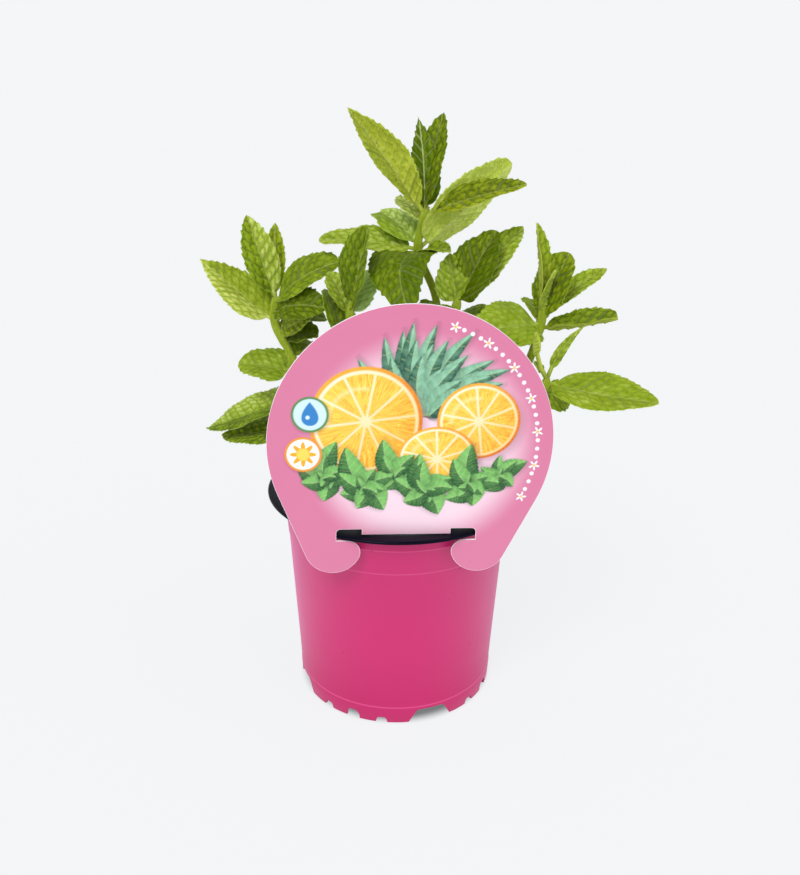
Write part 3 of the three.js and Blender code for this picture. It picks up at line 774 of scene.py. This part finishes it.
def on_card(x, y, out):
    """Points of the label from places across and up its face, and how far they lie before its back."""
    tilt = radians(-LABEL_TILT)
    across = x * cos(tilt) - y * sin(tilt)
    up = x * sin(tilt) + y * cos(tilt)
    return turn(np.stack([across, 0 * across - LABEL_BACK - out, TAB_EDGE + up], 1), LABEL_TURN)


def label_outline():
    """The label's outline, its tab's edge at height 0, anticlockwise from the tab's left end."""
    inset = LOBE_RADIUS - HOOK_RADIUS
    rise = math.asin((HOOK_RADIUS - HOOK_TOP - LOBE_DOWN) / inset)
    bar_end = (LOBE_OUT - inset * cos(rise), HOOK_TOP - HOOK_RADIUS)
    bend = 180 + math.degrees(rise)

    def flank(across):
        """The direction, from the disc's centre, in which its edge runs out to a hook this far across."""
        down = DISC_CENTRE[1] + LOBE_DOWN
        off = math.acos((DISC_RADIUS - LOBE_RADIUS) / math.hypot(across, down))
        return math.degrees(off - math.atan2(down, across))

    def hook(turn_up):
        """One hook as on the right, from the slot's end round to the disc's flank."""
        bar = arc(bar_end, HOOK_RADIUS, 90, bend, 16)
        lobe = arc((LOBE_OUT, -LOBE_DOWN), LOBE_RADIUS, bend, 360 + turn_up, 48)
        return [(SLOT_HALF, HOOK_TOP), *bar, *lobe[1:]]

    def mirrored(points):
        return [(-x, y) for x, y in reversed(points)]

    corner = (SLOT_HALF - SLOT_CORNER, SLOT_TOP - SLOT_CORNER)
    slot = [(TAB_HALF, SLOT_TOP), *arc(corner, SLOT_CORNER, 90, 0, 7)]
    right, left = flank(LOBE_OUT - DISC_CENTRE[0]), flank(LOBE_OUT + DISC_CENTRE[0])
    disc = arc(DISC_CENTRE, DISC_RADIUS, right, 180 - left, 160)
    tab = [(-TAB_HALF, 0), (TAB_HALF, 0)]
    return np.array(tab + slot + hook(right) + disc + mirrored(hook(left)) + mirrored(slot))


def build_label():
    outline = label_outline()
    ahead = unit(np.roll(outline, -1, 0) - outline)
    behind = np.roll(ahead, 1, 0)
    inward = np.stack([-(ahead[:, 1] + behind[:, 1]), ahead[:, 0] + behind[:, 0]], 1)
    inward /= 1 + np.sum(ahead * behind, axis=1)[:, None]
    count = len(outline)
    flats = (outline, outline, outline + LABEL_EDGE * inward)
    outs = (0.0, LABEL_THICKNESS - LABEL_BEVEL, LABEL_THICKNESS)
    points = np.vstack([on_card(*flat.T, out) for flat, out in zip(flats, outs)])
    around_edge = ring_faces(3, count)
    back = np.arange(count)[::-1][None]
    front = 2 * count + np.arange(count)[None]
    slots = [0] * (len(around_edge) + 1) + [1]
    inks = label_print()
    values = {"card_place": np.vstack([np.c_[flat, np.zeros(count)] for flat in flats])}
    faces = [around_edge, back, front]
    card = mesh_object("label_card", points, faces, [card_stock(), inks], slots, smooth=False, values=values)
    settle(card, "label_card", "label")
    build_design(inks)


# The design's pieces: fruit slices as [place, radius, spin, squash], then sprigs as [x, y, size, facing].
FRUITS = (((24, 43), 14.5, 0.2, 0.95), ((-15, 43), 19.5, 0.5, 1.0), ((10, 29), 14.0, 0.9, 0.86))
SPRIGS = ((33, 22, 12, 20), (-29, 22, 15, 65), (-4, 23, 15, 100), (22, 19, 16, 5), (-15, 18, 17, 35),
          (6, 17, 17, 160))
WEDGES = 10
BADGE_RADIUS = 6.4
SUN = (-36.5, 31)
DROP = (-34, 45.5)
BLOSSOMS = 25
BLOSSOM_REACH = 44.3
BLOSSOM_ENDS = (-26, 72.4)  # directions of the chain's two ends
WHITE = (252, 246, 250)


def soft(distance, width=0.3):
    """1 inside, 0 outside, by the distance past an edge."""
    return np.clip(0.5 - distance / width, 0, 1)


def scatter(first, second=0.0):
    """A number from 0 to 1 for each pair of numbers, without any visible order."""
    value = np.sin(np.floor(first) * 12.9898 + np.floor(second) * 78.233) * 43758.5453
    return value - np.floor(value)


class Sheet:
    """The printed face. Each point has the ink's amount of each colour, and how much the ink hides."""

    def __init__(self, x, y):
        self.x, self.y = x, y
        self.ink = np.zeros((len(x), 3))
        self.hidden = np.zeros(len(x))

    def lay(self, cover, dark, light=None, share=None):
        """One layer of ink over what is there, of one screen colour or shaded between two by shares."""
        cover = np.clip(cover, 0, 1)
        colour = np.array(rgb(*dark))
        if light:
            share = np.clip(share, 0, 1)[:, None]
            colour = colour * (1 - share) + np.array(rgb(*light)) * share
        self.ink = self.ink * (1 - cover[:, None]) + colour * cover[:, None]
        self.hidden = 1 - (1 - self.hidden) * (1 - cover)

    def away(self, place):
        return np.hypot(self.x - place[0], self.y - place[1])

    def spot(self, place, radius, colour):
        self.lay(soft(self.away(place) - radius), colour)

    def star(self, place, radius, depth, points, spin, colour):
        """A spot with a waved edge, such as a sun or a blossom."""
        angle = np.arctan2(self.y - place[1], self.x - place[0]) + spin
        self.lay(soft(self.away(place) - (radius + depth * np.cos(points * angle))), colour)

    def badge(self, place, ring, ground):
        """A round badge with a rim and a soft shadow."""
        shadow = self.away((place[0] + 0.4, place[1] - 0.6)) - BADGE_RADIUS
        self.lay(0.5 * soft(shadow, 2.0), (120, 60, 84))
        self.spot(place, BADGE_RADIUS, ring)
        self.spot(place, BADGE_RADIUS - 0.8, ground)

    def fruit(self, place, radius, spin, squash=1.0):
        """A round slice of orange fruit with its rind, pith and wedges of flesh."""
        dx, dy = self.x - place[0], (self.y - place[1]) / squash
        away = np.hypot(dx, dy)
        angle = np.arctan2(dy, dx) + spin
        lit = 0.5 + (dy - dx) / (3.2 * radius)
        self.lay(0.45 * soft(np.hypot(dx - 1.2, dy + 1.8) - radius, 4.0), (150, 70, 96))
        pores = 0.25 * (scatter(angle * radius * 1.6, away * 1.6) - 0.5)
        self.lay(soft(away - radius), (214, 104, 10), (252, 178, 52), lit + pores)
        self.lay(soft(away - 0.93 * radius, 0.6), (246, 206, 130), (255, 246, 214), lit)
        in_wedge = np.abs(((angle * WEDGES / (2 * pi)) % 1) - 0.5)
        gap = (0.5 - in_wedge) * 2 * pi / WEDGES * away
        ray = angle * 4.6 * WEDGES
        bead = away / radius * 3.6 + scatter(ray) + 0.2 * np.sin(ray)
        juice = 0.55 * scatter(ray, bead) + 0.45 * np.sin(pi * (bead % 1)) * np.sin(pi * (ray % 1))
        juice = juice + 0.5 * (lit - 0.5) + 0.25 * (1 - away / radius)
        inside = soft(away - 0.87 * radius, 0.5) * soft(0.4 - gap, 0.5) * soft(0.1 * radius - away, 1.0)
        self.lay(inside, (238, 146, 8), (255, 222, 92), juice)
        shine = soft(np.abs(away - 0.6 * radius + 0.1 * dx) - 0.5, 1.4) * (dy - dx > 0.9 * away) * inside
        self.lay(0.5 * shine, (255, 244, 190))

    def leaf(self, root, degrees, length, width, dark, light, veins):
        """A toothed leaf with a pale midrib and side veins, drawn from its root."""
        c, s = heading(degrees)
        dx, dy = self.x - root[0], self.y - root[1]
        along, across = (c * dx + s * dy) / length, -s * dx + c * dy
        across = across - 0.1 * length * np.sin(pi * np.clip(along, 0, 1))
        inner = np.clip(along, 0.0001, 0.9999)
        half = width / 2 * np.sin(pi * inner**0.75) ** 0.75 * (1 + 0.09 * ((inner * 2 * veins) % 1))
        wide = np.abs(across)
        reach = wide / np.maximum(half, 0.01)
        whole = (along > 0) * (along < 1)
        shadow = soft(np.abs(across + 0.6) - half, 3.0) * (along > -0.02) * (along < 1.04)
        self.lay(0.4 * shadow, (40, 60, 44))
        off = np.abs((inner - 0.56 * wide / length) * veins % 1 - 0.5)
        side = 0.42 + 0.3 * np.sign(across) * np.sign(c + 0.01) - 0.2 * reach**2 + 0.5 * (0.3 - off)
        side = side + 0.12 * (scatter(self.x * 1.3, self.y * 1.3) - 0.5) + 0.25 * (inner - 0.4)
        self.lay(soft(wide - half) * whole, dark, light, side)
        thread = np.maximum(soft(wide - 0.12 * (1.4 - inner)), 0.5 * soft(0.46 - off, 0.06) * (reach < 0.85))
        self.lay(0.6 * thread * whole * (reach < 1) * (inner < 0.94), (196, 224, 160))


def design(sheet):
    """A generic printed design: a fan of leaves, orange slices, sprigs, two badges and some blossoms."""
    for tier, (reach, spread) in enumerate(((33, 58), (27, 66), (20, 72))):
        for i in range(9 - tier):
            lean = (i - (8 - tier) / 2) / 4
            degrees = 78 - spread * lean + 7 * sin(5 * i + tier)
            length = reach * (1 - 0.12 * abs(lean)) + 2 * sin(3 * i + tier)
            sheet.leaf((5 + 2 * lean, 45), degrees, length, 6.4, (22, 82, 62), (150, 206, 172), 5)
    for fruit in FRUITS:
        sheet.fruit(*fruit)
    for cx, cy, size, facing in SPRIGS:
        for tier, (share, count) in enumerate(((1.0, 5), (0.78, 4), (0.45, 3))):
            for i in range(count):
                degrees = facing + 360 * i / count + 36 * tier + 14 * sin(5 * i + 2 * tier + cx)
                c, s = heading(degrees)
                length = size * share * (0.9 + 0.18 * sin(4 * i + tier + cx))
                tall = length * (0.8 + 0.2 * s)
                sheet.leaf((cx - c, cy - s), degrees, tall, 0.52 * length, (18, 84, 34), (138, 206, 110), 6)
    sheet.badge(SUN, (238, 150, 40), (255, 252, 246))
    sheet.star(SUN, 3.5, 1.1, 8, 0, (240, 172, 32))
    sheet.spot(SUN, 2.2, (252, 214, 90))
    sheet.badge(DROP, (86, 140, 70), (206, 232, 246))
    rise = np.clip((sheet.y - DROP[1] + 4) / 8.5, 0, 1)
    edge = np.abs(sheet.x - DROP[0]) - 3.4 * np.sqrt(rise) * (1 - rise) * 2.2
    sheet.lay(soft(edge) * (rise > 0) * (rise < 1), (46, 128, 196))
    sheet.spot((DROP[0] - 0.8, DROP[1] - 1), 0.7, (220, 240, 252))
    for i, place in enumerate(arc(DISC_CENTRE, BLOSSOM_REACH, *BLOSSOM_ENDS, BLOSSOMS)):
        if i % 4:
            sheet.spot(place, 0.75, WHITE)
        else:
            sheet.star(place, 1.25, 0.75, 5, i, WHITE)
            sheet.spot(place, 0.5, (240, 190, 60))


def build_design(inks):
    """The painted part of the label's face: a fine sheet on the card whose points carry the ink."""
    line = np.arange(-PRINT_RADIUS, PRINT_RADIUS + PRINT_PITCH, PRINT_PITCH)
    x, y = np.meshgrid(line + DISC_CENTRE[0], line + DISC_CENTRE[1], indexing="ij")
    keep = (np.hypot(x - DISC_CENTRE[0], y - DISC_CENTRE[1]) < PRINT_RADIUS) & (y > PRINT_FOOT)
    number = np.cumsum(keep.ravel()).reshape(keep.shape) - 1
    i, j = np.nonzero(keep[:-1, :-1] & keep[1:, :-1] & keep[1:, 1:] & keep[:-1, 1:])
    quads = np.stack([number[i, j], number[i + 1, j], number[i + 1, j + 1], number[i, j + 1]], 1)
    sheet = Sheet(x[keep], y[keep])
    design(sheet)
    ink = sheet.ink / np.maximum(sheet.hidden, 0.001)[:, None]
    values = {
        "card_place": np.c_[sheet.x, sheet.y, 0 * sheet.x],
        "ink": np.c_[ink, np.ones(len(ink))],
        "ink_cover": sheet.hidden,
    }
    points = on_card(sheet.x, sheet.y, LABEL_THICKNESS + PRINT_LIFT)
    settle(mesh_object("label_design", points, [quads], [inks], smooth=False, values=values), "label_card")


# ---- Leafy stems ----


def ramp(value, width):
    """0 up to a value of 0, and rising to 1 at this width."""
    return np.clip(value / width, 0, 1)


def bell(value, width):
    return np.exp(-((value / width) ** 2))


def stem_line(route, steps=60):
    """Points along a stem's centre line: a centripetal curve through its route, as in the frame."""
    x, y, surface = route[0]
    knots = np.array([(x, y, STEM_FOOT), (x, y, (STEM_FOOT + surface) / 2), *route], float)
    knots = np.vstack([2 * knots[0] - knots[1], knots, 2 * knots[-1] - knots[-2]])
    line = []
    for p0, p1, p2, p3 in zip(knots, knots[1:], knots[2:], knots[3:]):
        d0, d1, d2 = (math.sqrt(np.linalg.norm(b - a)) for a, b in ((p0, p1), (p1, p2), (p2, p3)))
        t1 = d1 * ((p1 - p0) / d0 - (p2 - p0) / (d0 + d1) + (p2 - p1) / d1)
        t2 = d1 * ((p2 - p1) / d1 - (p3 - p1) / (d1 + d2) + (p3 - p2) / d2)
        for t in np.linspace(0, 1, steps, endpoint=False):
            bent = (-3 * p1 + 3 * p2 - 2 * t1 - t2) * t**2 + (2 * p1 - 2 * p2 + t1 + t2) * t**3
            line.append(p1 + t1 * t + bent)
    return np.array([*line, knots[-2]])


def sampled(line, measure, wanted):
    """Points of a line where a measure, which rises along it, has these values."""
    return np.stack([np.interp(wanted, measure, line[:, axis]) for axis in range(3)], -1)


def at_height(line, height):
    return sampled(line, line[:, 2], height)


def outline(share, root, point):
    """Half the blade's width at a share of its length, as a share of its greatest."""
    widest = root / (root + point)
    return share**root * (1 - share) ** point / (widest**root * (1 - widest) ** point)


def around(vector, axis, degrees):
    """A vector turned about an axis."""
    c, s = heading(degrees)
    return vector * c + np.cross(axis, vector) * s + axis * np.dot(axis, vector) * (1 - c)


def leaf_mesh(base, one, phase, number):
    """A leaf's points, quads, the face each is on, what its shader reads, and where its hairs may stand."""
    tip = np.array(one.tip, float)
    length = np.linalg.norm(tip - base)
    forward = unit(tip - base)
    face = around(unit(np.array((0, 0, 1.0)) - forward * forward[2]), forward, one.roll)
    bulge = (base + tip) / 2 + 2 * length * (one.arch * face + one.sway * np.cross(forward, face))
    blade_length = length * (1 - one.stalk)
    teeth = max(4, round(blade_length / TOOTH_SPACING))

    # Rows along the leaf and columns across it, which crowd towards its edges.
    blade = np.linspace(0, 1, 2 * round(blade_length / one.grain / 2) + 1)
    share = np.concatenate([[0, 0.5 * one.stalk, one.stalk], one.stalk + (1 - one.stalk) * blade[1:]])
    blade = np.concatenate([[0, 0, 0], blade[1:]])
    columns = max(12, 2 * round(one.width / one.grain / 2))
    across = np.sin(np.linspace(-1, 1, columns + 1) * 1.35) / sin(1.35)
    b, v = np.meshgrid(blade, across, indexing="ij")
    s = share[:, None] + 0 * v
    hand, reach = np.sign(v), np.abs(v)

    # The outline and its low forward-leaning teeth, none quite like the next.
    least = STALK_HALF * (1 - b) + 0.12 * b
    half = np.maximum(0.5 * one.width * outline(np.clip(b, 0, 1), one.root, one.point), least)
    pace = b * teeth + 0.2 * hand + 0.16 * np.sin(2.4 * b * teeth + number + hand)
    beat = pace % 1
    falling = ((1 - beat) / (1 - TOOTH_RISE)) ** 1.2
    tooth = np.where(beat < TOOTH_RISE, (beat / TOOTH_RISE) ** 1.3, falling)
    uneven = 0.8 + 0.35 * np.sin(4.1 * np.floor(pace) + 1.7 * number)
    tooth_size = one.tooth * min(1, one.width / 13) * uneven * ramp(np.minimum(b, 1 - b), 0.12)
    near_edge = reach * ramp(half * reach - half + 1.6, 1.6) ** 2 * np.minimum(1, half / 2)
    y = v * half + hand * tooth_size * (tooth - 0.6) * near_edge
    lean = 0.7 * tooth_size * tooth * near_edge

    # Side veins that curve forwards and run out before the edge, small veins across from one to the next,
    # and little cushions between them.
    x = b * blade_length
    bend = x - 0.7 * np.abs(y) - 0.03 * y**2 + 0.3 * np.sin(0.9 * y + number)
    spacing = blade_length / max(6, round(blade_length / VEIN_SPACING))
    order = bend / spacing + 0.3 * hand + 0.12 * np.sin(1.3 * bend + 2 * number)
    off = np.abs(order - np.round(order)) * spacing * 0.8
    strip = np.floor(order)
    step = np.abs(y) / CELL_LENGTH + 0.37 * strip
    step = step + 0.2 * np.sin(2.3 * strip + number) + 0.12 * np.sin(2.1 * bend)
    cross = np.abs(step - np.round(step)) * CELL_LENGTH
    inside = ramp(1 - reach, 0.1) * ramp(b, 0.06) * ramp(1 - b, 0.08)
    branch = bell(off, 0.22) * (1 - 0.3 * reach)
    lines = inside * np.maximum(branch, 0.6 * bell(cross, 0.2))
    cushion = (1 - bell(off, 0.7)) * (1 - 0.7 * bell(cross, 0.55)) - 0.6
    relief = inside * one.crinkle * CUSHION_RISE * cushion - VEIN_DEPTH * lines
    relief -= RIB_GROOVE * bell(y, RIB_WIDTH) * ramp(b, 0.05) * (1 - b)

    # The cross-section: two rising halves, each a little domed, with a slow wave and a rippled margin.
    rise = radians(one.fold) * np.minimum(1, s / (2 * STALK_SHARE))
    slope = (np.sqrt(y**2 + 0.49) - 0.7 + 0.1 * np.clip(np.abs(y), 0, 1)) * np.sin(rise)
    dome = 0.08 * half * np.sin(pi * reach) * ramp(b, 0.1)
    wave = hand * reach * WAVE * one.width * np.sin(WAVE_TURN * s + phase) * np.minimum(1, 3 * s)
    beats = np.sin(2 * pi * 3.2 * b + 2.1 * hand + number) + 0.3 * np.sin(2 * pi * 7.3 * b + number)
    ripple = 0.01 * one.crinkle * one.width * beats * reach**3 * ramp(b, 0.15)
    lift = slope + dome + wave + ripple + relief

    # The midrib's curve and the leaf's own directions along it.
    t = share[:, None]
    centre = (1 - t) ** 2 * base + 2 * t * (1 - t) * bulge + t**2 * tip
    ahead = unit(2 * (1 - t) * (bulge - base) + 2 * t * (tip - bulge))
    above = unit(face - ahead * (ahead @ face)[:, None])
    side = np.cross(ahead, above)

    # The upper face, and the underside below it by the leaf's thickness.
    thin = BLADE_THICKNESS * (1 - 0.45 * reach**3)
    rib = RIB_DEPTH * bell(y, RIB_WIDTH) * (1 - 0.75 * b) * ramp(b, 0.02) + 0.15 * lines
    is_stalk = (s <= one.stalk + 1e-6) * 1.0
    depth = is_stalk * STALK_THICKNESS * np.sqrt(1 - 0.8 * v**2) + (1 - is_stalk) * (thin + rib)
    lift = lift + is_stalk * depth / 2
    top = centre[:, None] + side[:, None] * (y * np.cos(rise))[..., None]
    top = top + above[:, None] * lift[..., None] + ahead[:, None] * lean[..., None]
    low = top - above[:, None] * depth[..., None]
    rings = np.concatenate([top, low[:, ::-1]], 1)
    rows, count = rings.shape[:2]
    slot = np.tile(np.where(np.arange(count) < columns, 0, 1), rows - 1)
    cell = np.arange(columns)
    caps = np.stack([cell, cell + 1, count - 2 - cell, count - 1 - cell], 1)
    quads = np.concatenate([ring_faces(rows, count), caps[:, ::-1], (rows - 1) * count + caps])
    slot = np.concatenate([slot, np.ones(2 * columns, int)])

    # The leaf's lightness carries painted light and shade, and split paints one half lighter than the other as
    # painted shade.
    looks = {
        "leaf_along": x,
        "leaf_across": y,
        "leaf_number": 17.3 * number,
        "tone": one.tone + one.split * 0.5 * hand * ramp(reach, 0.12),
        "rib": one.rib,
        "warmth": one.warm,
        "veins": lines * min(1, 0.3 + 0.7 * one.crinkle),
        "branches": inside * branch,
        "cushion": inside * cushion,
    }
    for name, value in looks.items():
        value = value + 0 * x
        looks[name] = np.concatenate([value, value[:, ::-1]], 1).ravel()

    # Hairs may stand along both edges, under the midrib and on the veins of the upper face.
    veined = (lines[2:-2, 2:-2] > 0.75) & (rng.uniform(0, 1, lines[2:-2, 2:-2].shape) < 0.3 * one.rib)
    edges = [(top[3:, edge], top[3:, edge] - top[3:, inner]) for edge, inner in ((0, 2), (-1, -3))]
    under = (low[1:, columns // 2], -above[1:])
    upper = (top[2:-2, 2:-2][veined], np.broadcast_to(above[2:-2, None], top[2:-2, 2:-2].shape)[veined])
    rooted = [np.concatenate(part) for part in zip(*edges, under, upper)]
    return rings.reshape(-1, 3), quads, slot, looks, rooted


def needles(roots, outward, share, longest):
    """Hairs on a share of these places: three-sided needles as points and triangles."""
    chosen = rng.uniform(0, 1, len(roots)) < share
    roots, outward = roots[chosen], unit(outward[chosen])
    outward = unit(outward + rng.normal(0, 0.3, outward.shape))
    first = unit(np.cross(outward, rng.normal(0, 1, outward.shape)))
    second = np.cross(outward, first)
    tips = roots + outward * rng.uniform(0.4, 1, (len(roots), 1)) * longest
    corners = [roots + HAIR_HALF * (cos(a) * first + sin(a) * second) for a in (0, 2.09, 4.19)]
    inside = np.all((tips > BOX_LOW) & (tips < BOX_HIGH), axis=1)
    points = np.stack([*corners, tips], 1)[inside].reshape(-1, 3)
    start = 4 * np.arange(int(inside.sum()))[:, None, None]
    return points, (start + np.array([(0, 1, 3), (1, 2, 3), (2, 0, 3)])).reshape(-1, 3)


def opposite(line, two):
    """The two leaves of a regular pair, as single leaves."""
    flat, up = heading(two.rise)
    made = []
    for c, s in (heading(two.compass), heading(two.compass + 180)):
        tip = at_height(line, two.height) + two.length * np.array((flat * c, flat * s, up))
        tone = rng.uniform(-0.4, 0.3)
        made.append(leaf(two.height, tip, two.width, 0, two.arch, tone=tone, grain=PAIR_GRAIN))
    return made


def stem_mesh(line, heights):
    """The square stem with rounded corners, grooved faces and a swelling where leaves stand."""
    steps = np.concatenate([[0], np.cumsum(np.linalg.norm(np.diff(line, axis=0), axis=1))])
    at = np.linspace(0, steps[-1], int(steps[-1] / 0.9))
    path = sampled(line, steps, at)
    angle = circle(STEM_SIDES)
    c, s = np.cos(angle), np.sin(angle)
    section = 1.12 / (np.abs(c) ** 5 + np.abs(s) ** 5) ** 0.2
    section = section * (1 - 0.07 * np.cos(4 * angle) ** 2 * (np.abs(np.cos(2 * angle)) > 0.7))
    swell = sum(bell(path[:, 2] - height, 1.6) for height in heights)
    half = STEM_HALF * (1 - (1 - STEM_TAPER) * at / at[-1]) * (1 + 0.22 * np.minimum(swell, 1))
    half = half * np.sqrt(np.clip((at[-1] - at) / 4, 0.02, 1))
    ahead = unit(np.vstack([path[1:], path[-1:]]) - np.vstack([path[:1], path[:-1]]))
    first = unit(np.cross((0, 1, 0), ahead))[:, None]
    second = np.cross(ahead, first[:, 0])[:, None]
    ring = (half[:, None] * section)[..., None]
    points = path[:, None] + ring * (c[:, None] * first + s[:, None] * second)
    ends = [np.arange(STEM_SIDES)[::-1][None], (len(path) - 1) * STEM_SIDES + np.arange(STEM_SIDES)[None]]
    return points.reshape(-1, 3), ring_faces(len(path), STEM_SIDES), ends


def build_stem(name, route, grown, skins, number):
    """One leafy stem. number is its first leaf's, and the next stem's is given back."""
    line = stem_line(route)
    leaves = []
    for one in grown:
        leaves += opposite(line, one) if hasattr(one, "compass") else [one]
    points, quads, ends = stem_mesh(line, sorted({one.height for one in leaves}))
    lit = points[:, 2] > SOIL_TOP + 3
    spine = at_height(line, points[:, 2])
    hairs = [needles(points[lit], (points - spine)[lit], STEM_HAIR_SHARE, STEM_HAIR)]
    parts = [(points, quads, np.full(len(quads), 2), {})]
    for i, one in enumerate(leaves):
        *part, rooted = leaf_mesh(at_height(line, one.height), one, WAVE_SHIFT * i, number + i)
        parts.append(part)
        hairs.append(needles(*rooted, LEAF_HAIR_SHARE, LEAF_HAIR))
    looks = parts[-1][3]
    parts += [(points, triangles, np.full(len(triangles), 3), {}) for points, triangles in hairs]
    starts = np.cumsum([0, *(len(points) for points, *_ in parts)])
    faces = [faces + start for (_, faces, *_), start in zip(parts, starts)]
    slots = [slots for _, _, slots, _ in parts]
    split = 1 + len(leaves)
    polygons = [np.concatenate(faces[:split]), *ends, np.concatenate(faces[split:])]
    slots = np.concatenate([*slots[:split], [2, 2], *slots[split:]])
    values = {}
    for key in looks:
        values[key] = np.concatenate([own.get(key, np.zeros(len(points))) for points, _, _, own in parts])
    points = np.concatenate([points for points, *_ in parts])
    points = np.clip(points, BOX_LOW + EDGE_ROOM, BOX_HIGH - EDGE_ROOM)
    piece = mesh_object(name + "_leafy", points, polygons, skins, slots, values=values)
    settle(piece, "mint_leaf", name)
    return number + len(leaves)


def build_plant():
    skins = [
        leaf_face("leaf upper side", (76, 98, 0), (140, 160, 36), (212, 222, 130), -0.9, 0.16, 0.42),
        leaf_face("leaf underside", (116, 134, 14), (174, 188, 64), (222, 228, 128), -1.9, -0.1, 0.5),
        stem_skin(),
        hair_skin(),
    ]
    number = 1
    for name, (route, *grown) in STEMS.items():
        number = build_stem(name, route, grown, skins, number)


# ---- Stage ----


def build_camera():
    data = bpy.data.cameras.new("camera")
    data.lens = CAMERA_LENS
    data.sensor_width = 36
    data.clip_start = 0.01
    camera = put("camera", data)
    level = Matrix.Rotation(radians(90 - CAMERA_PITCH), 4, "X")
    roll = Matrix.Rotation(radians(CAMERA_ROLL), 4, "Z")
    camera.matrix_world = Matrix.Translation(CAMERA_PLACE) @ level @ roll
    bpy.context.scene.camera = camera


def build_light():
    world = bpy.data.worlds.new("studio")
    world.use_nodes = True
    sky = Nodes(world.node_tree)
    upward = sky.height(sky.add("TexCoord", {})["Generated"])
    colour = sky.mix(sky.step(upward, 0.42, 0.62), backdrop(), backdrop(CEILING))
    sky.fill(world.node_tree.nodes["Background"], {"Color": colour})
    bpy.context.scene.world = world
    for name, strength, spread, lean, facing in LAMPS:
        data = bpy.data.lights.new(name, "SUN")
        data.energy = strength
        data.angle = radians(spread)
        aim = Matrix.Rotation(radians(facing), 4, "Z") @ Matrix.Rotation(radians(lean), 4, "X")
        put(name, data).matrix_world = aim
    bpy.context.scene.view_settings.view_transform = "Standard"


def build_floor():
    skin = Skin("floor")
    where = skin.places()
    # Painted shadow: the floor's glow is dimmed to SHADE_GLOW under the pot and just round its foot.
    open_floor = skin.step(skin.away(where), (FOOT_RADIUS - 5) * MM, (FOOT_RADIUS + 1.5) * MM)
    glow = skin.mix(open_floor, backdrop(SHADE_GLOW), backdrop(FLOOR_GLOW))
    skin.body = skin.mix(skin.noise(where, 3, 2), (0.098, 0.099, 0.1, 1), (0.1, 0.101, 0.102, 1))
    skin.finish(Roughness=1.0, Specular_IOR_Level=0.0, Emission_Color=glow, Emission_Strength=1.0)
    corners = FLOOR_REACH * np.array([(-1, -1, 0), (1, -1, 0), (1, 1, 0), (-1, 1, 0)])
    mesh_object("floor", corners, [np.array([[0, 1, 2, 3]])], [skin.made], smooth=False)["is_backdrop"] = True


build_camera()
build_light()
build_floor()
build_pot()
build_peat()
build_label()
build_plant()

boxes = {"cad": [list(corner) for corner in cad_box], "visual": [list(corner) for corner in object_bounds()]}
